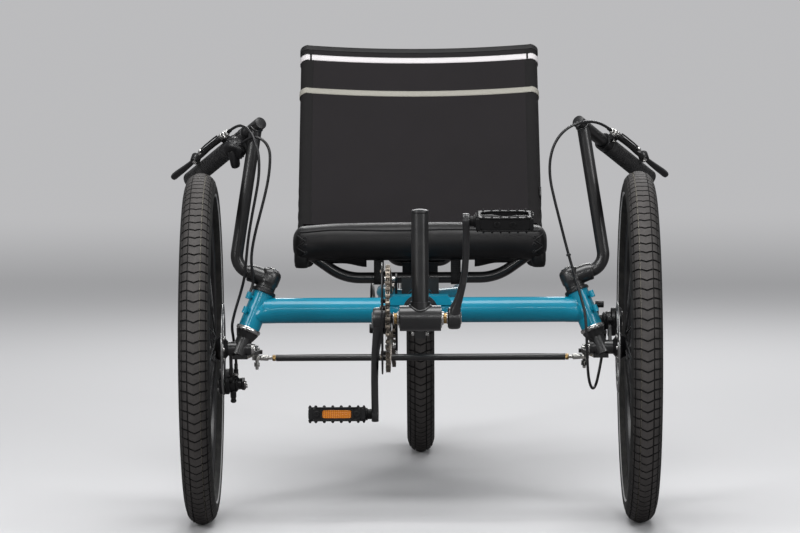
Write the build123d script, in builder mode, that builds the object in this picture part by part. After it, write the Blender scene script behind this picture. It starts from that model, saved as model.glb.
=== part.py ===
"""Tadpole recumbent trike: two steered front wheels, one driven rear wheel, sling seat.

Millimetres. +Z is up, the rider faces -Y and +X is the rider's left.
The origin is on the floor, at the middle of the trike's length and width.
"""
import os
from math import asin, atan2, cos, pi, radians, sin, tan

from build123d import *

# ---------------------------------------------------------------- driving dimensions
# wheels
wheel_base = 1120.0
track = 768.0
tyre_diameter = 617.0
tyre_width = 55.0
tyre_section_sides = 12
bead_diameter = 507.0
rim_width = 30.0
rim_flange = 6.0
rim_depth = 14.0
rim_wall = 2.0
spoke_count = 36
spoke_diameter = 2.4
spoke_lead_degrees = 52.0
hub_flange_thickness = 3.0
rotor_diameter = 160.0
rotor_thickness = 2.0
rotor_band = 14.0
rotor_arms = 6

# steering pivots
pivot_spacing = 632.0
kingpin_inclination = 22.5
caster = 12.0
head_tube_diameter = 38.0
head_tube_bore = 34.0
head_tube_length = 66.0
steerer_diameter = 28.6
cup_diameter = 44.0
lower_cup_height = 8.0
upper_cup_height = 7.0
stem_length = 32.0
stem_diameter = 35.0
spacer_height = 3.4
front_axle_diameter = 12.0
housing_diameter = 25.0
housing_length = 47.0
tie_ball_spacing = 582.0
tie_ball_setback = 95.0
tie_rod_height = 283.0
tie_rod_diameter = 12.0

# frame tubes
cross_tube_height = 374.0
cross_tube_diameter = 44.4
main_tube_diameter = 50.8
main_tube_lift = 4.0
main_tube_rear = 700.0
boom_diameter = 41.3
sleeve_reach = 100.0
stay_diameter = 21.0
stay_height = 346.0
stay_spacing = 148.0
rear_axle_diameter = 10.0
dropout_spacing = 135.0
dropout_thickness = 6.0

# drive
pedal_reach = 500.0
bracket_height = 402.0
bracket_diameter = 42.0
bracket_width = 68.0
cup_width = 9.0
spindle_diameter = 24.0
post_diameter = 28.6
post_top = 577.0
post_lean = 6.0
post_collar_diameter = 34.0
post_collar_height = 27.0
crank_length = 165.0
crank_tilt = 12.0
pedal_tread = 163.0
chain_pitch = 12.7
ring_teeth = 42
cog_teeth = 17
pulley_teeth = 11
chain_height = 8.6
link_waist = 6.0
chain_width = 7.2
chain_line = 53.0
guard_diameter = 184.0
guard_thickness = 3.0
pedal_length = 98.0
pedal_depth = 66.0
pedal_height = 30.0

# handlebars and brakes
bar_diameter = 22.2
grip_diameter = 31.0
grip_tube_length = 240.0
grip_length = 142.0
lever_offset = 26.0
lever_tip_reach = 262.0
cable_diameter = 5.0
stop_diameter = 9.0
stop_length = 12.0
stop_reach = 27.0
eyelet_diameter = 5.3

# seat
seat_width = 458.0
seat_front = 150.0
seat_tube_diameter = 20.0
sleeve_diameter = 34.0
sling_thickness = 12.0
nose_top = 517.0
nose_bottom = 449.0
nose_depth = 80.0
bend_setback = 480.0
bend_height = 428.0
back_setback = 868.0
back_height = 812.0
support_height = 418.0
front_clamp_setback = 190.0
rear_clamp_setback = 570.0
clamp_wall = 8.0
clamp_length = 30.0

# clearances
seat_gap = 0.3
run_gap = 0.05
bore_gap = 0.1

# ---------------------------------------------------------------- places worked out from them
tyre_radius = tyre_diameter / 2
axle_height = tyre_radius
rotor_radius = rotor_diameter / 2
front_y = (pedal_reach + guard_diameter / 2 - wheel_base - tyre_radius) / 2
rear_y = front_y + wheel_base
bracket_y = front_y - pedal_reach
kingpin_x = pivot_spacing / 2
rise = cross_tube_height - axle_height
head_x = kingpin_x - rise * tan(radians(kingpin_inclination))
cross_y = front_y + rise * tan(radians(caster))
main_z = cross_tube_height + main_tube_lift
kingpin = Vector(-tan(radians(kingpin_inclination)), tan(radians(caster)), 1).normalized()
head_centre = Vector(head_x, cross_y, cross_tube_height)
axle_drop = rise / kingpin.Z
half_head = head_tube_length / 2
stem_foot = half_head + upper_cup_height + spacer_height + 2 * seat_gap
stem_top = stem_foot + stem_length
wheel_x = track / 2
bead_radius = bead_diameter / 2


def on_kingpin(distance):
    """Point on the left steering axis, measured up from the head tube's middle."""
    return head_centre + kingpin * distance


def cylinder_between(start, end, diameter, end_diameter=None):
    """Solid bar or cone from one point to another."""
    start, end = Vector(*start), Vector(*end)
    with BuildPart() as bar:
        with BuildSketch(Plane(origin=start, z_dir=end - start)):
            Circle(diameter / 2)
        if end_diameter is None:
            extrude(amount=(end - start).length)
        else:
            with BuildSketch(Plane(origin=end, z_dir=end - start)):
                Circle(end_diameter / 2)
            loft()
    return bar.part


def bent_tube(points, radii, diameter):
    """Round bar along straight runs joined by tangent arcs."""
    with BuildPart() as tube:
        with BuildLine() as route:
            FilletPolyline(*points, radius=radii)
        with BuildSketch(Plane(origin=route.line @ 0, z_dir=route.line % 0)):
            Circle(diameter / 2)
        sweep()
    return tube.part


def mirrored(part, name):
    """The same piece on the other side of the trike."""
    with BuildPart() as other:
        add(part)
        mirror(about=Plane.YZ, mode=Mode.REPLACE)
    other.part.label = name
    return other.part


def save(part, name):
    part.label = name
    export_step(part, f"parts/{name}.step")


os.makedirs("parts", exist_ok=True)


# ---------------------------------------------------------------- wheels
def axial_plane(x, y):
    """Sketch plane through a wheel's axle: local x is along the axle, local y is outwards."""
    return Plane(origin=(x, y, axle_height), x_dir=(1, 0, 0), z_dir=(0, 0, 1))


def axle_line(x, y):
    return Axis((x, y, axle_height), (1, 0, 0))


def ring_section(x_low, x_high, r_low, r_high):
    """Rectangle in the axial plane, from its lowest and highest corners."""
    with Locations(((x_low + x_high) / 2, (r_low + r_high) / 2)):
        Rectangle(x_high - x_low, r_high - r_low)


def make_tyre(x, y):
    """Many-sided section, flat where it meets the rim, with a foot between the rim's flanges."""
    centre_radius = tyre_radius - tyre_width / 2
    flange_top = bead_radius + rim_flange
    foot_half = rim_width / 2 - rim_wall - seat_gap
    with BuildPart() as tyre:
        with BuildSketch(axial_plane(x, y)):
            with Locations((0, centre_radius)):
                RegularPolygon(tyre_width / 2, tyre_section_sides, major_radius=False,
                               rotation=180 / tyre_section_sides)
            with Locations((0, flange_top + seat_gap - tyre_width / 2)):
                Rectangle(tyre_width, tyre_width, mode=Mode.SUBTRACT)
            ring_section(-foot_half, foot_half, bead_radius + seat_gap, flange_top + seat_gap + 1)
        revolve(axis=axle_line(x, y))
    return tyre.part


def make_wheel(x, y, hub_steps, bore_diameter, flanges, flange_radius):
    """Rim, hub and crossed spokes. hub_steps holds x_low, x_high and radius about the rim's plane."""
    half = rim_width / 2
    rim_inner = bead_radius - rim_depth
    spoke_seat = rim_inner + rim_wall / 2
    per_side = spoke_count // len(flanges)
    with BuildPart() as wheel:
        with BuildSketch(axial_plane(x, y)):
            ring_section(-half, half, rim_inner, bead_radius)
            ring_section(-half, rim_wall - half, rim_inner, bead_radius + rim_flange)
            ring_section(half - rim_wall, half, rim_inner, bead_radius + rim_flange)
            for x_low, x_high, radius in hub_steps:
                ring_section(x_low, x_high, bore_diameter / 2, radius)
            for flange_x in flanges:
                half_flange = hub_flange_thickness / 2
                ring_section(flange_x - half_flange, flange_x + half_flange,
                             bore_diameter / 2, flange_radius + 4)
        revolve(axis=axle_line(x, y))
        for side, flange_x in enumerate(flanges):
            for index in range(per_side):
                outer = 2 * pi * (index + side / 2) / per_side
                lead = radians(spoke_lead_degrees) * (1 if index % 2 else -1)
                inner = outer + lead
                foot = Vector(x + flange_x, y + flange_radius * cos(inner),
                              axle_height + flange_radius * sin(inner))
                tip = Vector(x, y + spoke_seat * cos(outer), axle_height + spoke_seat * sin(outer))
                with BuildSketch(Plane(origin=foot, z_dir=tip - foot)):
                    Circle(spoke_diameter / 2)
                extrude(amount=(tip - foot).length)
    return wheel.part


def make_rotor(x, y, hub_radius):
    """Brake disc: braking band, swept arms and centre ring."""
    inner_band = rotor_radius - rotor_band
    centre_ring = hub_radius + 10
    with BuildPart() as rotor:
        with BuildSketch(Plane(origin=(x, y, axle_height), x_dir=(0, 1, 0), z_dir=(1, 0, 0))):
            Circle(rotor_radius)
            Circle(inner_band, mode=Mode.SUBTRACT)
            Circle(centre_ring)
            with PolarLocations(0, rotor_arms):
                with Locations((inner_band / 2 + 3, 0)):
                    Rectangle(inner_band, 9, rotation=18)
            Circle(hub_radius + seat_gap, mode=Mode.SUBTRACT)
        extrude(amount=rotor_thickness / 2, both=True)
    return rotor.part


housing_end = kingpin_x + housing_length * 0.6
rotor_x = housing_end + seat_gap + 1 + rotor_thickness / 2
hub_inner = housing_end + seat_gap
hub_outer = wheel_x + 34
rotor_boss = 16.0
front_hub_steps = [
    # x low, x high, radius
    (hub_inner - wheel_x, -28, rotor_boss),
    (rotor_x + rotor_thickness / 2 + bore_gap - wheel_x, -28, 24.0),
    (-28, 28, 14.0),
    (-28, -18, 20.0),
    (18, 28, 20.0),
    (28, hub_outer - wheel_x, 14.0),
]
front_flanges = (-22.0, 22.0)
front_wheel = make_wheel(wheel_x, front_y, front_hub_steps,
                         front_axle_diameter + 2 * run_gap, front_flanges, 24.0)
front_tyre = make_tyre(wheel_x, front_y)
front_rotor = make_rotor(rotor_x, front_y, rotor_boss)
save(front_wheel, "wheel_left")
save(mirrored(front_wheel, "wheel_right"), "wheel_right")
save(front_tyre, "tyre_left")
save(mirrored(front_tyre, "tyre_right"), "tyre_right")
save(front_rotor, "rotor_left")
save(mirrored(front_rotor, "rotor_right"), "rotor_right")

dropout_inner = dropout_spacing / 2
freehub_radius = 17.5
cog_pitch = 4.8
cog_thickness = 1.8
freehub_inner = -22.0
rear_hub_steps = [
    # x low, x high, radius
    (seat_gap - dropout_inner, -64, 13.0),
    (-64, freehub_inner, freehub_radius),
    (freehub_inner, 40, 19.0),
    (40, dropout_inner - seat_gap, 14.0),
]
rear_flanges = (-16.0, 32.0)
rear_wheel = make_wheel(0, rear_y, rear_hub_steps, rear_axle_diameter + 2 * run_gap,
                        rear_flanges, 26.0)
save(rear_wheel, "wheel_rear")
save(make_tyre(0, rear_y), "tyre_rear")

# ---------------------------------------------------------------- chain route
# Circles that the chain goes round, in its own plane. Turn is +1 where it bends to the left
# as it is followed backwards along the top, and -1 where it bends to the right.
pitch_to_radius = chain_pitch / (2 * pi)
ring_radius = ring_teeth * pitch_to_radius
cog_radius = cog_teeth * pitch_to_radius
pulley_radius = pulley_teeth * pitch_to_radius
half_chain = chain_height / 2
power_idler = (front_y + 75, main_z + 46)
return_idler = (front_y + 140, main_z - 78)
guide_pulley = (rear_y + 8, axle_height - 62)
tension_pulley = (rear_y - 14, axle_height - 112)
chain_stops = [
    # y, z, pitch radius, turn
    (bracket_y, bracket_height, ring_radius, -1),
    (*power_idler, pulley_radius, 1),
    (rear_y, axle_height, cog_radius, -1),
    (*guide_pulley, pulley_radius, 1),
    (*tension_pulley, pulley_radius, -1),
    (*return_idler, pulley_radius, 1),
]


def belt_outline(stops, shift):
    """Arcs and straight runs round the stops, moved to the left by shift."""
    circles = [(Vector(y, z), turn * radius - shift, turn) for y, z, radius, turn in stops]
    tangents = []
    for here, ahead in zip(circles, circles[1:] + circles[:1]):
        gap = ahead[0] - here[0]
        heading = atan2(gap.Y, gap.X) - asin((ahead[1] - here[1]) / gap.length)
        left = Vector(-sin(heading), cos(heading))
        tangents.append((here[0] - left * here[1], ahead[0] - left * ahead[1]))
    for index, (centre, _, turn) in enumerate(circles):
        arrive = tangents[index - 1][1]
        leave = tangents[index][0]
        start = atan2((arrive - centre).Y, (arrive - centre).X)
        end = atan2((leave - centre).Y, (leave - centre).X)
        swing = turn * ((turn * (end - start)) % (2 * pi))
        reach = (arrive - centre).length
        middle = centre + Vector(cos(start + swing / 2), sin(start + swing / 2)) * reach
        ThreePointArc(arrive, middle, leave)
        Line(leave, tangents[index][1])


def side_plane(x):
    """Sketch plane square to X: local x is +Y and local y is +Z."""
    return Plane(origin=(x, 0, 0), x_dir=(0, 1, 0), z_dir=(1, 0, 0))


def chord_sag(radius):
    """How far a straight side of a link cuts inside a wheel whose pitch radius is given."""
    return chain_pitch ** 2 / (8 * radius)


def link_outline(route, count, half_pin, half_waist):
    """Corners beside the route, two to a pair of links: full height, then waisted."""
    corners = []
    for index in range(2 * count):
        share = index / (2 * count)
        along = route % share
        left = Vector(-along.Y, along.X)
        corners.append((route @ share) + left * (half_waist if index % 2 else half_pin))
    return [(corner.X, corner.Y) for corner in corners]


with BuildLine(side_plane(-chain_line)) as chain_route:
    belt_outline(chain_stops, 0)
chain_loop = chain_route.wire()
link_pairs = round(chain_loop.length / (2 * chain_pitch))
with BuildPart() as chain:
    with BuildSketch(side_plane(-chain_line)):
        with BuildLine():
            Polyline(*link_outline(chain_loop, link_pairs, half_chain, link_waist / 2), close=True)
        make_face()
        with BuildLine():
            Polyline(*link_outline(chain_loop, link_pairs, -half_chain, -link_waist / 2), close=True)
        make_face(mode=Mode.SUBTRACT)
    extrude(amount=chain_width / 2, both=True)
save(chain.part, "chain")

cog_radii = [
    # from the smallest cog, outboard, to the largest, inboard
    21.5, 25.5, cog_radius - half_chain - chord_sag(cog_radius) - seat_gap, 41.0, 45.5, 50.0, 55.5, 61.0,
]
driven_cog = 2
with BuildPart() as cassette:
    with BuildSketch(axial_plane(0, rear_y)):
        ring_section(-chain_line - 2.5 * cog_pitch, freehub_inner - seat_gap,
                     freehub_radius + bore_gap, freehub_radius + 2)
        for index, radius in enumerate(cog_radii):
            cog_x = -chain_line + (index - driven_cog) * cog_pitch
            ring_section(cog_x - cog_thickness / 2, cog_x + cog_thickness / 2,
                         freehub_radius + bore_gap, radius)
    revolve(axis=axle_line(0, rear_y))
save(cassette.part, "cassette")

# ---------------------------------------------------------------- frame
boom_slope = Vector(0, -1, tan(radians(3.3))).normalized()
bracket_centre = Vector(0, bracket_y, bracket_height)


def on_boom(y):
    """Point on the boom's axis at a given y."""
    return bracket_centre + boom_slope * ((y - bracket_y) / boom_slope.Y)


sleeve_front = front_y - sleeve_reach
sleeve_rear = cross_y + 4
main_rear = front_y + main_tube_rear
stem_reach = 14.0
head_outward = (Vector(1, 0, 0) - kingpin * kingpin.X).normalized()
head_rearward = kingpin.cross(head_outward)


def around_head(distance, degrees, radius):
    """Point round the left steering axis: 0 degrees is outboard and -90 is forward."""
    turn = radians(degrees)
    spoke = head_outward * (radius * cos(turn)) + head_rearward * (radius * sin(turn))
    return on_kingpin(distance) + spoke


head_stops = [
    # middle along the steering axis, degrees round it
    (18.5, -40.0),
    (-8.0, -52.0),
]
with BuildPart() as stops:
    for middle, degrees in head_stops:
        low = around_head(middle - stop_length / 2, degrees, stop_reach)
        high = around_head(middle + stop_length / 2, degrees, stop_reach)
        add(cylinder_between(low, high, stop_diameter))
        add(cylinder_between(around_head(middle, degrees, head_tube_bore / 2 + 1),
                             around_head(middle, degrees, stop_reach), stop_diameter - 3))

head_tube = cylinder_between(on_kingpin(-half_head), on_kingpin(half_head), head_tube_diameter)
head_hole = cylinder_between(on_kingpin(-half_head - 1), on_kingpin(half_head + 1), head_tube_bore)
boom_sleeve = cylinder_between(on_boom(sleeve_front), on_boom(sleeve_rear), main_tube_diameter)
boom_hole = cylinder_between(on_boom(sleeve_front - 1), on_boom(cross_y - 20),
                             boom_diameter + 2 * bore_gap)
main_tube = cylinder_between((0, cross_y, main_z), (0, main_rear, main_z), main_tube_diameter)
cross_reach = head_x - stem_reach
grommet_x = 190.0
clip_setbacks = (130.0, 340.0, 480.0)
cable_line = Vector(-26, 0, -32)
clip_line = cable_line.normalized() * (cable_line.length - cable_diameter / 2 - seat_gap)
cross_tube = cylinder_between((-cross_reach, cross_y, cross_tube_height),
                              (cross_reach, cross_y, cross_tube_height), cross_tube_diameter)
with BuildPart() as main_frame:
    add(cross_tube)
    add(main_tube)
    add(boom_sleeve)
    add(head_tube)
    add(mirrored(head_tube, "head"))
    add(stops.part)
    add(mirrored(stops.part, "stops"))
    for setback in clip_setbacks:
        y = front_y + setback
        add(cylinder_between((clip_line.X / 2, y, main_z + clip_line.Z / 2),
                             (clip_line.X, y, main_z + clip_line.Z), 8))
    add(cylinder_between((-grommet_x, cross_y, cross_tube_height),
                         (-grommet_x, cross_y + cross_tube_diameter / 2 + 4, cross_tube_height), 9))
    # saddle plate over the crossing
    with BuildSketch(Plane.XZ.offset(-cross_y - 24)):
        with Locations((0, cross_tube_height + cross_tube_diameter / 2 - 4)):
            Trapezoid(116, 16, 60)
    extrude(amount=48)
    add(head_hole, mode=Mode.SUBTRACT)
    add(mirrored(head_hole, "hole"), mode=Mode.SUBTRACT)
    add(boom_hole, mode=Mode.SUBTRACT)
save(main_frame.part, "main_frame")

half_stays = stay_spacing / 2
stay_left = bent_tube(
    [(6, main_rear - 10, stay_height), (half_stays, main_rear + 78, stay_height),
     (half_stays, main_rear + 220, stay_height - 6), (half_stays, rear_y - 42, axle_height + 7)],
    [36, 120], stay_diameter)
eyelet_setback = 24.0
with BuildPart() as dropout_left:
    with BuildSketch(side_plane(dropout_inner)):
        with BuildLine():
            Polyline((rear_y - 60, axle_height + 16), (rear_y + 4, axle_height + 20),
                     (rear_y + 18, axle_height + 8), (rear_y + 18, axle_height - 14),
                     (rear_y - 8, axle_height - 18), (rear_y - 60, axle_height + 2), close=True)
        make_face()
        with Locations((rear_y, axle_height)):
            Circle(rear_axle_diameter / 2 + bore_gap, mode=Mode.SUBTRACT)
        with Locations((rear_y - eyelet_setback, axle_height + 8)):
            Circle(eyelet_diameter / 2, mode=Mode.SUBTRACT)
    extrude(amount=dropout_thickness)
with BuildPart() as rear_fork:
    add(stay_left)
    add(dropout_left.part)
    mirror(about=Plane.YZ)
    with BuildSketch(Plane.YZ.offset(-16)):
        with Locations((main_rear - 10, stay_height)):
            Circle(stay_diameter / 2)
    extrude(amount=32)
    add(cylinder_between((0, main_rear - 60, main_z), (0, main_rear + 60, main_z),
                         main_tube_diameter), mode=Mode.SUBTRACT)
save(rear_fork.part, "rear_fork")

with BuildPart() as boom:
    add(cylinder_between(bracket_centre, on_boom(cross_y - 21), boom_diameter))
    with BuildSketch(side_plane(-bracket_width / 2)):
        with Locations((bracket_y, bracket_height)):
            Circle(bracket_diameter / 2)
    extrude(amount=bracket_width)
    post_head = Vector(0, bracket_y + post_lean, post_top)
    post_line = (post_head - bracket_centre).normalized()
    add(cylinder_between(bracket_centre, post_head, post_diameter))
    add(cylinder_between(bracket_centre, bracket_centre + post_line * post_collar_height,
                         post_collar_diameter))
    with BuildSketch(side_plane(-bracket_width / 2 - 1)):
        with Locations((bracket_y, bracket_height)):
            Circle(spindle_diameter / 2 + 3)
    extrude(amount=bracket_width + 2, mode=Mode.SUBTRACT)
save(boom.part, "boom")

with BuildPart() as boom_clamp:
    collar_outer = main_tube_diameter + 12
    add(cylinder_between(on_boom(sleeve_front - 2), on_boom(sleeve_front + 22), collar_outer))
    with BuildSketch(Plane.XY.offset(on_boom(sleeve_front).Z - main_tube_diameter / 2 - 20)):
        with Locations((0, sleeve_front + 10)):
            Rectangle(20, 20)
    extrude(amount=22)
    add(cylinder_between(on_boom(sleeve_front - seat_gap), on_boom(sleeve_front + 40),
                         main_tube_diameter + 2 * bore_gap), mode=Mode.SUBTRACT)
    add(cylinder_between(on_boom(sleeve_front - 30), on_boom(sleeve_front + 40),
                         boom_diameter + 2 * bore_gap), mode=Mode.SUBTRACT)
save(boom_clamp.part, "boom_clamp")

with BuildPart() as bracket_cups:
    for side in (-1, 1):
        with BuildSketch(side_plane(side * (bracket_width / 2 + cup_width / 2))):
            with Locations((bracket_y, bracket_height)):
                Circle(bracket_diameter / 2 - 2)
                Circle(spindle_diameter / 2 + run_gap, mode=Mode.SUBTRACT)
        extrude(amount=cup_width / 2, both=True)
save(bracket_cups.part, "bracket_cups")

with BuildPart() as cup_pair:
    for start, end in ((-half_head - lower_cup_height, -half_head),
                       (half_head, half_head + upper_cup_height)):
        add(cylinder_between(on_kingpin(start), on_kingpin(end), cup_diameter))
        add(cylinder_between(on_kingpin(start - 1), on_kingpin(end + 1),
                             steerer_diameter + 2 * run_gap), mode=Mode.SUBTRACT)
with BuildPart() as headset_cups:
    add(cup_pair.part)
    mirror(about=Plane.YZ)
save(headset_cups.part, "headset_cups")

# ---------------------------------------------------------------- knuckles
housing_start = housing_end - housing_length
tie_ball = Vector(tie_ball_spacing / 2, front_y + tie_ball_setback, tie_rod_height)
arm_thickness = 7.0
rod_end_height = 8.0
rod_end_diameter = 17.0
ball_diameter = 10.0
stud_diameter = 6.0
tilt_gap = 3.2
arm_foot = tie_rod_height + rod_end_height / 2 + tilt_gap
stud_foot = tie_rod_height - rod_end_height / 2 - tilt_gap - 8
caliper_radius = rotor_radius - 14
caliper_width = 42.0
caliper_slot = rotor_thickness + 1.0
caliper_inner = rotor_x - 10
caliper_outer = rotor_x + 9
lug_thickness = 5.0
lug_x = caliper_inner - seat_gap - lug_thickness
caliper_degrees = {
    # angle about the axle from the rear, upwards
    "left": 37.0,
    "right": -66.0,
}


def caliper_plane(x, degrees):
    """Plane square to the axle, whose local x points out to the caliper."""
    turn = radians(degrees)
    return Plane(origin=(x, front_y, axle_height), x_dir=(0, cos(turn), sin(turn)), z_dir=(1, 0, 0))


def ball_stud(x, top):
    """Stud with its ball at the rod's height and its nut below."""
    nut_top = tie_rod_height - rod_end_height / 2 - tilt_gap
    with BuildPart() as stud:
        add(cylinder_between((x, tie_ball.Y, stud_foot - 2), (x, tie_ball.Y, top), stud_diameter))
        add(cylinder_between((x, tie_ball.Y, stud_foot), (x, tie_ball.Y, nut_top), 11))
        with Locations((x, tie_ball.Y, tie_rod_height)):
            Sphere(ball_diameter / 2 - 2 * bore_gap)
    return stud.part


def make_knuckle(degrees, with_stud):
    """Steerer, axle housing, steering arm and caliper lug of a left knuckle."""
    cone_top = -half_head - lower_cup_height - seat_gap
    spacer_foot = half_head + upper_cup_height + seat_gap
    with BuildPart() as knuckle:
        add(cylinder_between(on_kingpin(-axle_drop - 12), on_kingpin(stem_top), steerer_diameter))
        add(cylinder_between(on_kingpin(cone_top - 12), on_kingpin(cone_top), 30, 41))
        add(cylinder_between(on_kingpin(spacer_foot), on_kingpin(spacer_foot + spacer_height),
                             stem_diameter))
        add(cylinder_between((housing_start, front_y, axle_height),
                             (housing_end, front_y, axle_height), housing_diameter))
        # steering arm, under the housing and back to the rod end
        with BuildSketch(Plane.XY.offset(arm_foot)):
            with BuildLine():
                Polyline((kingpin_x - 12, front_y - 10), (kingpin_x + 14, front_y - 10),
                         (kingpin_x + 8, front_y + 16), (tie_ball.X + 7, tie_ball.Y),
                         (tie_ball.X - 7, tie_ball.Y - 3), (kingpin_x - 14, front_y + 12),
                         close=True)
            make_face()
            with Locations((tie_ball.X, tie_ball.Y)):
                Circle(10)
        extrude(amount=arm_thickness)
        with BuildSketch(Plane.XY.offset(arm_foot + arm_thickness)):
            with Locations((kingpin_x, front_y)):
                Rectangle(20, 16)
        extrude(amount=axle_height - arm_foot - arm_thickness)
        if with_stud:
            add(ball_stud(tie_ball.X, arm_foot))
        with BuildSketch(caliper_plane(lug_x, degrees)):
            with Locations(((caliper_radius - 14) / 2, 0)):
                Rectangle(caliper_radius - 14, 24)
        extrude(amount=lug_thickness)
        with BuildSketch(Plane(origin=(housing_start - 1, front_y, axle_height), z_dir=(1, 0, 0))):
            Circle(front_axle_diameter / 2 + bore_gap)
        extrude(amount=housing_length + 2, mode=Mode.SUBTRACT)
    return knuckle.part


save(make_knuckle(caliper_degrees["left"], True), "knuckle_left")
save(mirrored(make_knuckle(caliper_degrees["right"], False), "knuckle_right"), "knuckle_right")


def make_caliper(degrees, housing_stop):
    """Slotted body over the disc, its piston boss and cable arm, and the stop of its cable."""
    middle = (caliper_inner + caliper_outer) / 2
    with BuildPart() as caliper:
        with BuildSketch(caliper_plane(caliper_inner, degrees)):
            with Locations((caliper_radius, 0)):
                RectangleRounded(36, caliper_width, 8)
        extrude(amount=caliper_outer - caliper_inner)
        with BuildSketch(caliper_plane(rotor_x - caliper_slot / 2, degrees)):
            with Locations((caliper_radius - 18, 0)):
                Rectangle(70, caliper_width + 2)
        extrude(amount=caliper_slot, mode=Mode.SUBTRACT)
        with BuildSketch(caliper_plane(caliper_inner - 14, degrees)):
            with Locations((caliper_radius + 3, 0)):
                Circle(14)
        extrude(amount=14)
        with BuildSketch(caliper_plane(caliper_inner - 18, degrees)):
            with Locations((caliper_radius + 8, 8)):
                Rectangle(12, 34, rotation=-20)
        extrude(amount=4)
        add(cylinder_between(*housing_stop, stop_diameter))
    return caliper.part


caliper_stops = {
    # mouth, where the cable enters, and root in the piston boss
    "left": (Vector(324, front_y + 52, 318), Vector(326, front_y + 54, 342)),
    "right": (Vector(325.5, front_y + 26.5, 270), Vector(326, front_y + 27, 252)),
}
save(make_caliper(caliper_degrees["left"], caliper_stops["left"]), "caliper_left")
right_caliper = make_caliper(caliper_degrees["right"], caliper_stops["right"])
save(mirrored(right_caliper, "caliper_right"), "caliper_right")

axle_end = hub_outer + seat_gap
axle_head_diameter = 16.0
with BuildPart() as front_axle:
    add(cylinder_between((housing_start - 5, front_y, axle_height), (axle_end, front_y, axle_height),
                         front_axle_diameter))
    add(cylinder_between((axle_end, front_y, axle_height), (axle_end + 6, front_y, axle_height), 20))
    add(cylinder_between((housing_start - 5, front_y, axle_height),
                         (housing_start, front_y, axle_height), axle_head_diameter))
save(front_axle.part, "axle_left")
save(mirrored(front_axle.part, "axle_right"), "axle_right")

# ---------------------------------------------------------------- handlebars
bar_y = front_y + 25
stem_centre = on_kingpin((stem_foot + stem_top) / 2)
socket_face = Vector(head_x + 6, bar_y, stem_centre.Z + 11)
bar_turn = Vector(head_x + 38, bar_y, stem_centre.Z + 16)
bar_bend = 31.0
grip_top = Vector(278.5, front_y + 20, 704)
grip_line = Vector(0.546, 0.708, -0.45).normalized()
lever_side = Vector(0.808, -0.298, 0.51)
lever_side = (lever_side - grip_line * lever_side.dot(grip_line)).normalized()
weld_reach = 16.0
upright_end = grip_top + grip_line * weld_reach
socket_line = (bar_turn - socket_face).normalized()


def on_grip(distance, offset=0):
    """Point along the grip tube from its front end, moved towards the brake lever."""
    return grip_top + grip_line * distance + lever_side * offset


with BuildPart() as stem:
    add(cylinder_between(on_kingpin(stem_foot), on_kingpin(stem_top), stem_diameter))
    with BuildSketch(Plane(origin=stem_centre, z_dir=socket_line)):
        Circle(15)
    with BuildSketch(Plane(origin=socket_face, z_dir=socket_line)):
        Circle(13.5)
    loft()
    add(cylinder_between(on_kingpin(stem_foot - 1), on_kingpin(stem_top + 1),
                         steerer_diameter + 2 * bore_gap), mode=Mode.SUBTRACT)
with BuildPart() as bar:
    add(bent_tube([socket_face, bar_turn, upright_end], [bar_bend], bar_diameter))
    add(cylinder_between(grip_top, on_grip(grip_tube_length), bar_diameter))
save(stem.part, "stem_left")
save(mirrored(stem.part, "stem_right"), "stem_right")
save(bar.part, "handlebar_left")
save(mirrored(bar.part, "handlebar_right"), "handlebar_right")


def along_grip(distance, offset=0):
    """Plane square to the grip tube, whose local x points to the brake lever."""
    return Plane(origin=on_grip(distance, offset), x_dir=lever_side, z_dir=grip_line)


grip_start = grip_tube_length - grip_length
with BuildPart() as grip:
    with BuildSketch(along_grip(grip_start)):
        Circle(grip_diameter / 2)
        Circle(bar_diameter / 2 + bore_gap, mode=Mode.SUBTRACT)
    extrude(amount=grip_length + seat_gap)
    with BuildSketch(along_grip(grip_tube_length + seat_gap)):
        Circle(grip_diameter / 2)
    extrude(amount=3)
save(grip.part, "grip_left")
save(mirrored(grip.part, "grip_right"), "grip_right")

lever_clamp_start = grip_start - 16
lever_body_start = 84.0
lever_pivot = 182.0
with BuildPart() as brake_lever:
    with BuildSketch(along_grip(lever_clamp_start)):
        Circle(bar_diameter / 2 + 5)
        with Locations((lever_offset / 2 + 4, 0)):
            Rectangle(lever_offset, 14)
        Circle(bar_diameter / 2 + bore_gap, mode=Mode.SUBTRACT)
    extrude(amount=14)
    with BuildSketch(along_grip(lever_body_start, lever_offset + 1)):
        Rectangle(9, 14)
    extrude(amount=lever_pivot - lever_body_start)
    with BuildSketch(along_grip(lever_pivot - 4, lever_offset)):
        Circle(4.5)
    extrude(amount=lever_tip_reach - lever_pivot + 4)
    with BuildSketch(Plane(origin=on_grip(lever_pivot, lever_offset),
                           z_dir=grip_line.cross(lever_side))):
        Circle(9)
    extrude(amount=7, both=True)
    add(cylinder_between(on_grip(lever_body_start - 14, lever_offset + 1),
                         on_grip(lever_body_start, lever_offset + 1), 8))
save(brake_lever.part, "brake_lever_left")
save(mirrored(brake_lever.part, "brake_lever_right"), "brake_lever_right")

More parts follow.
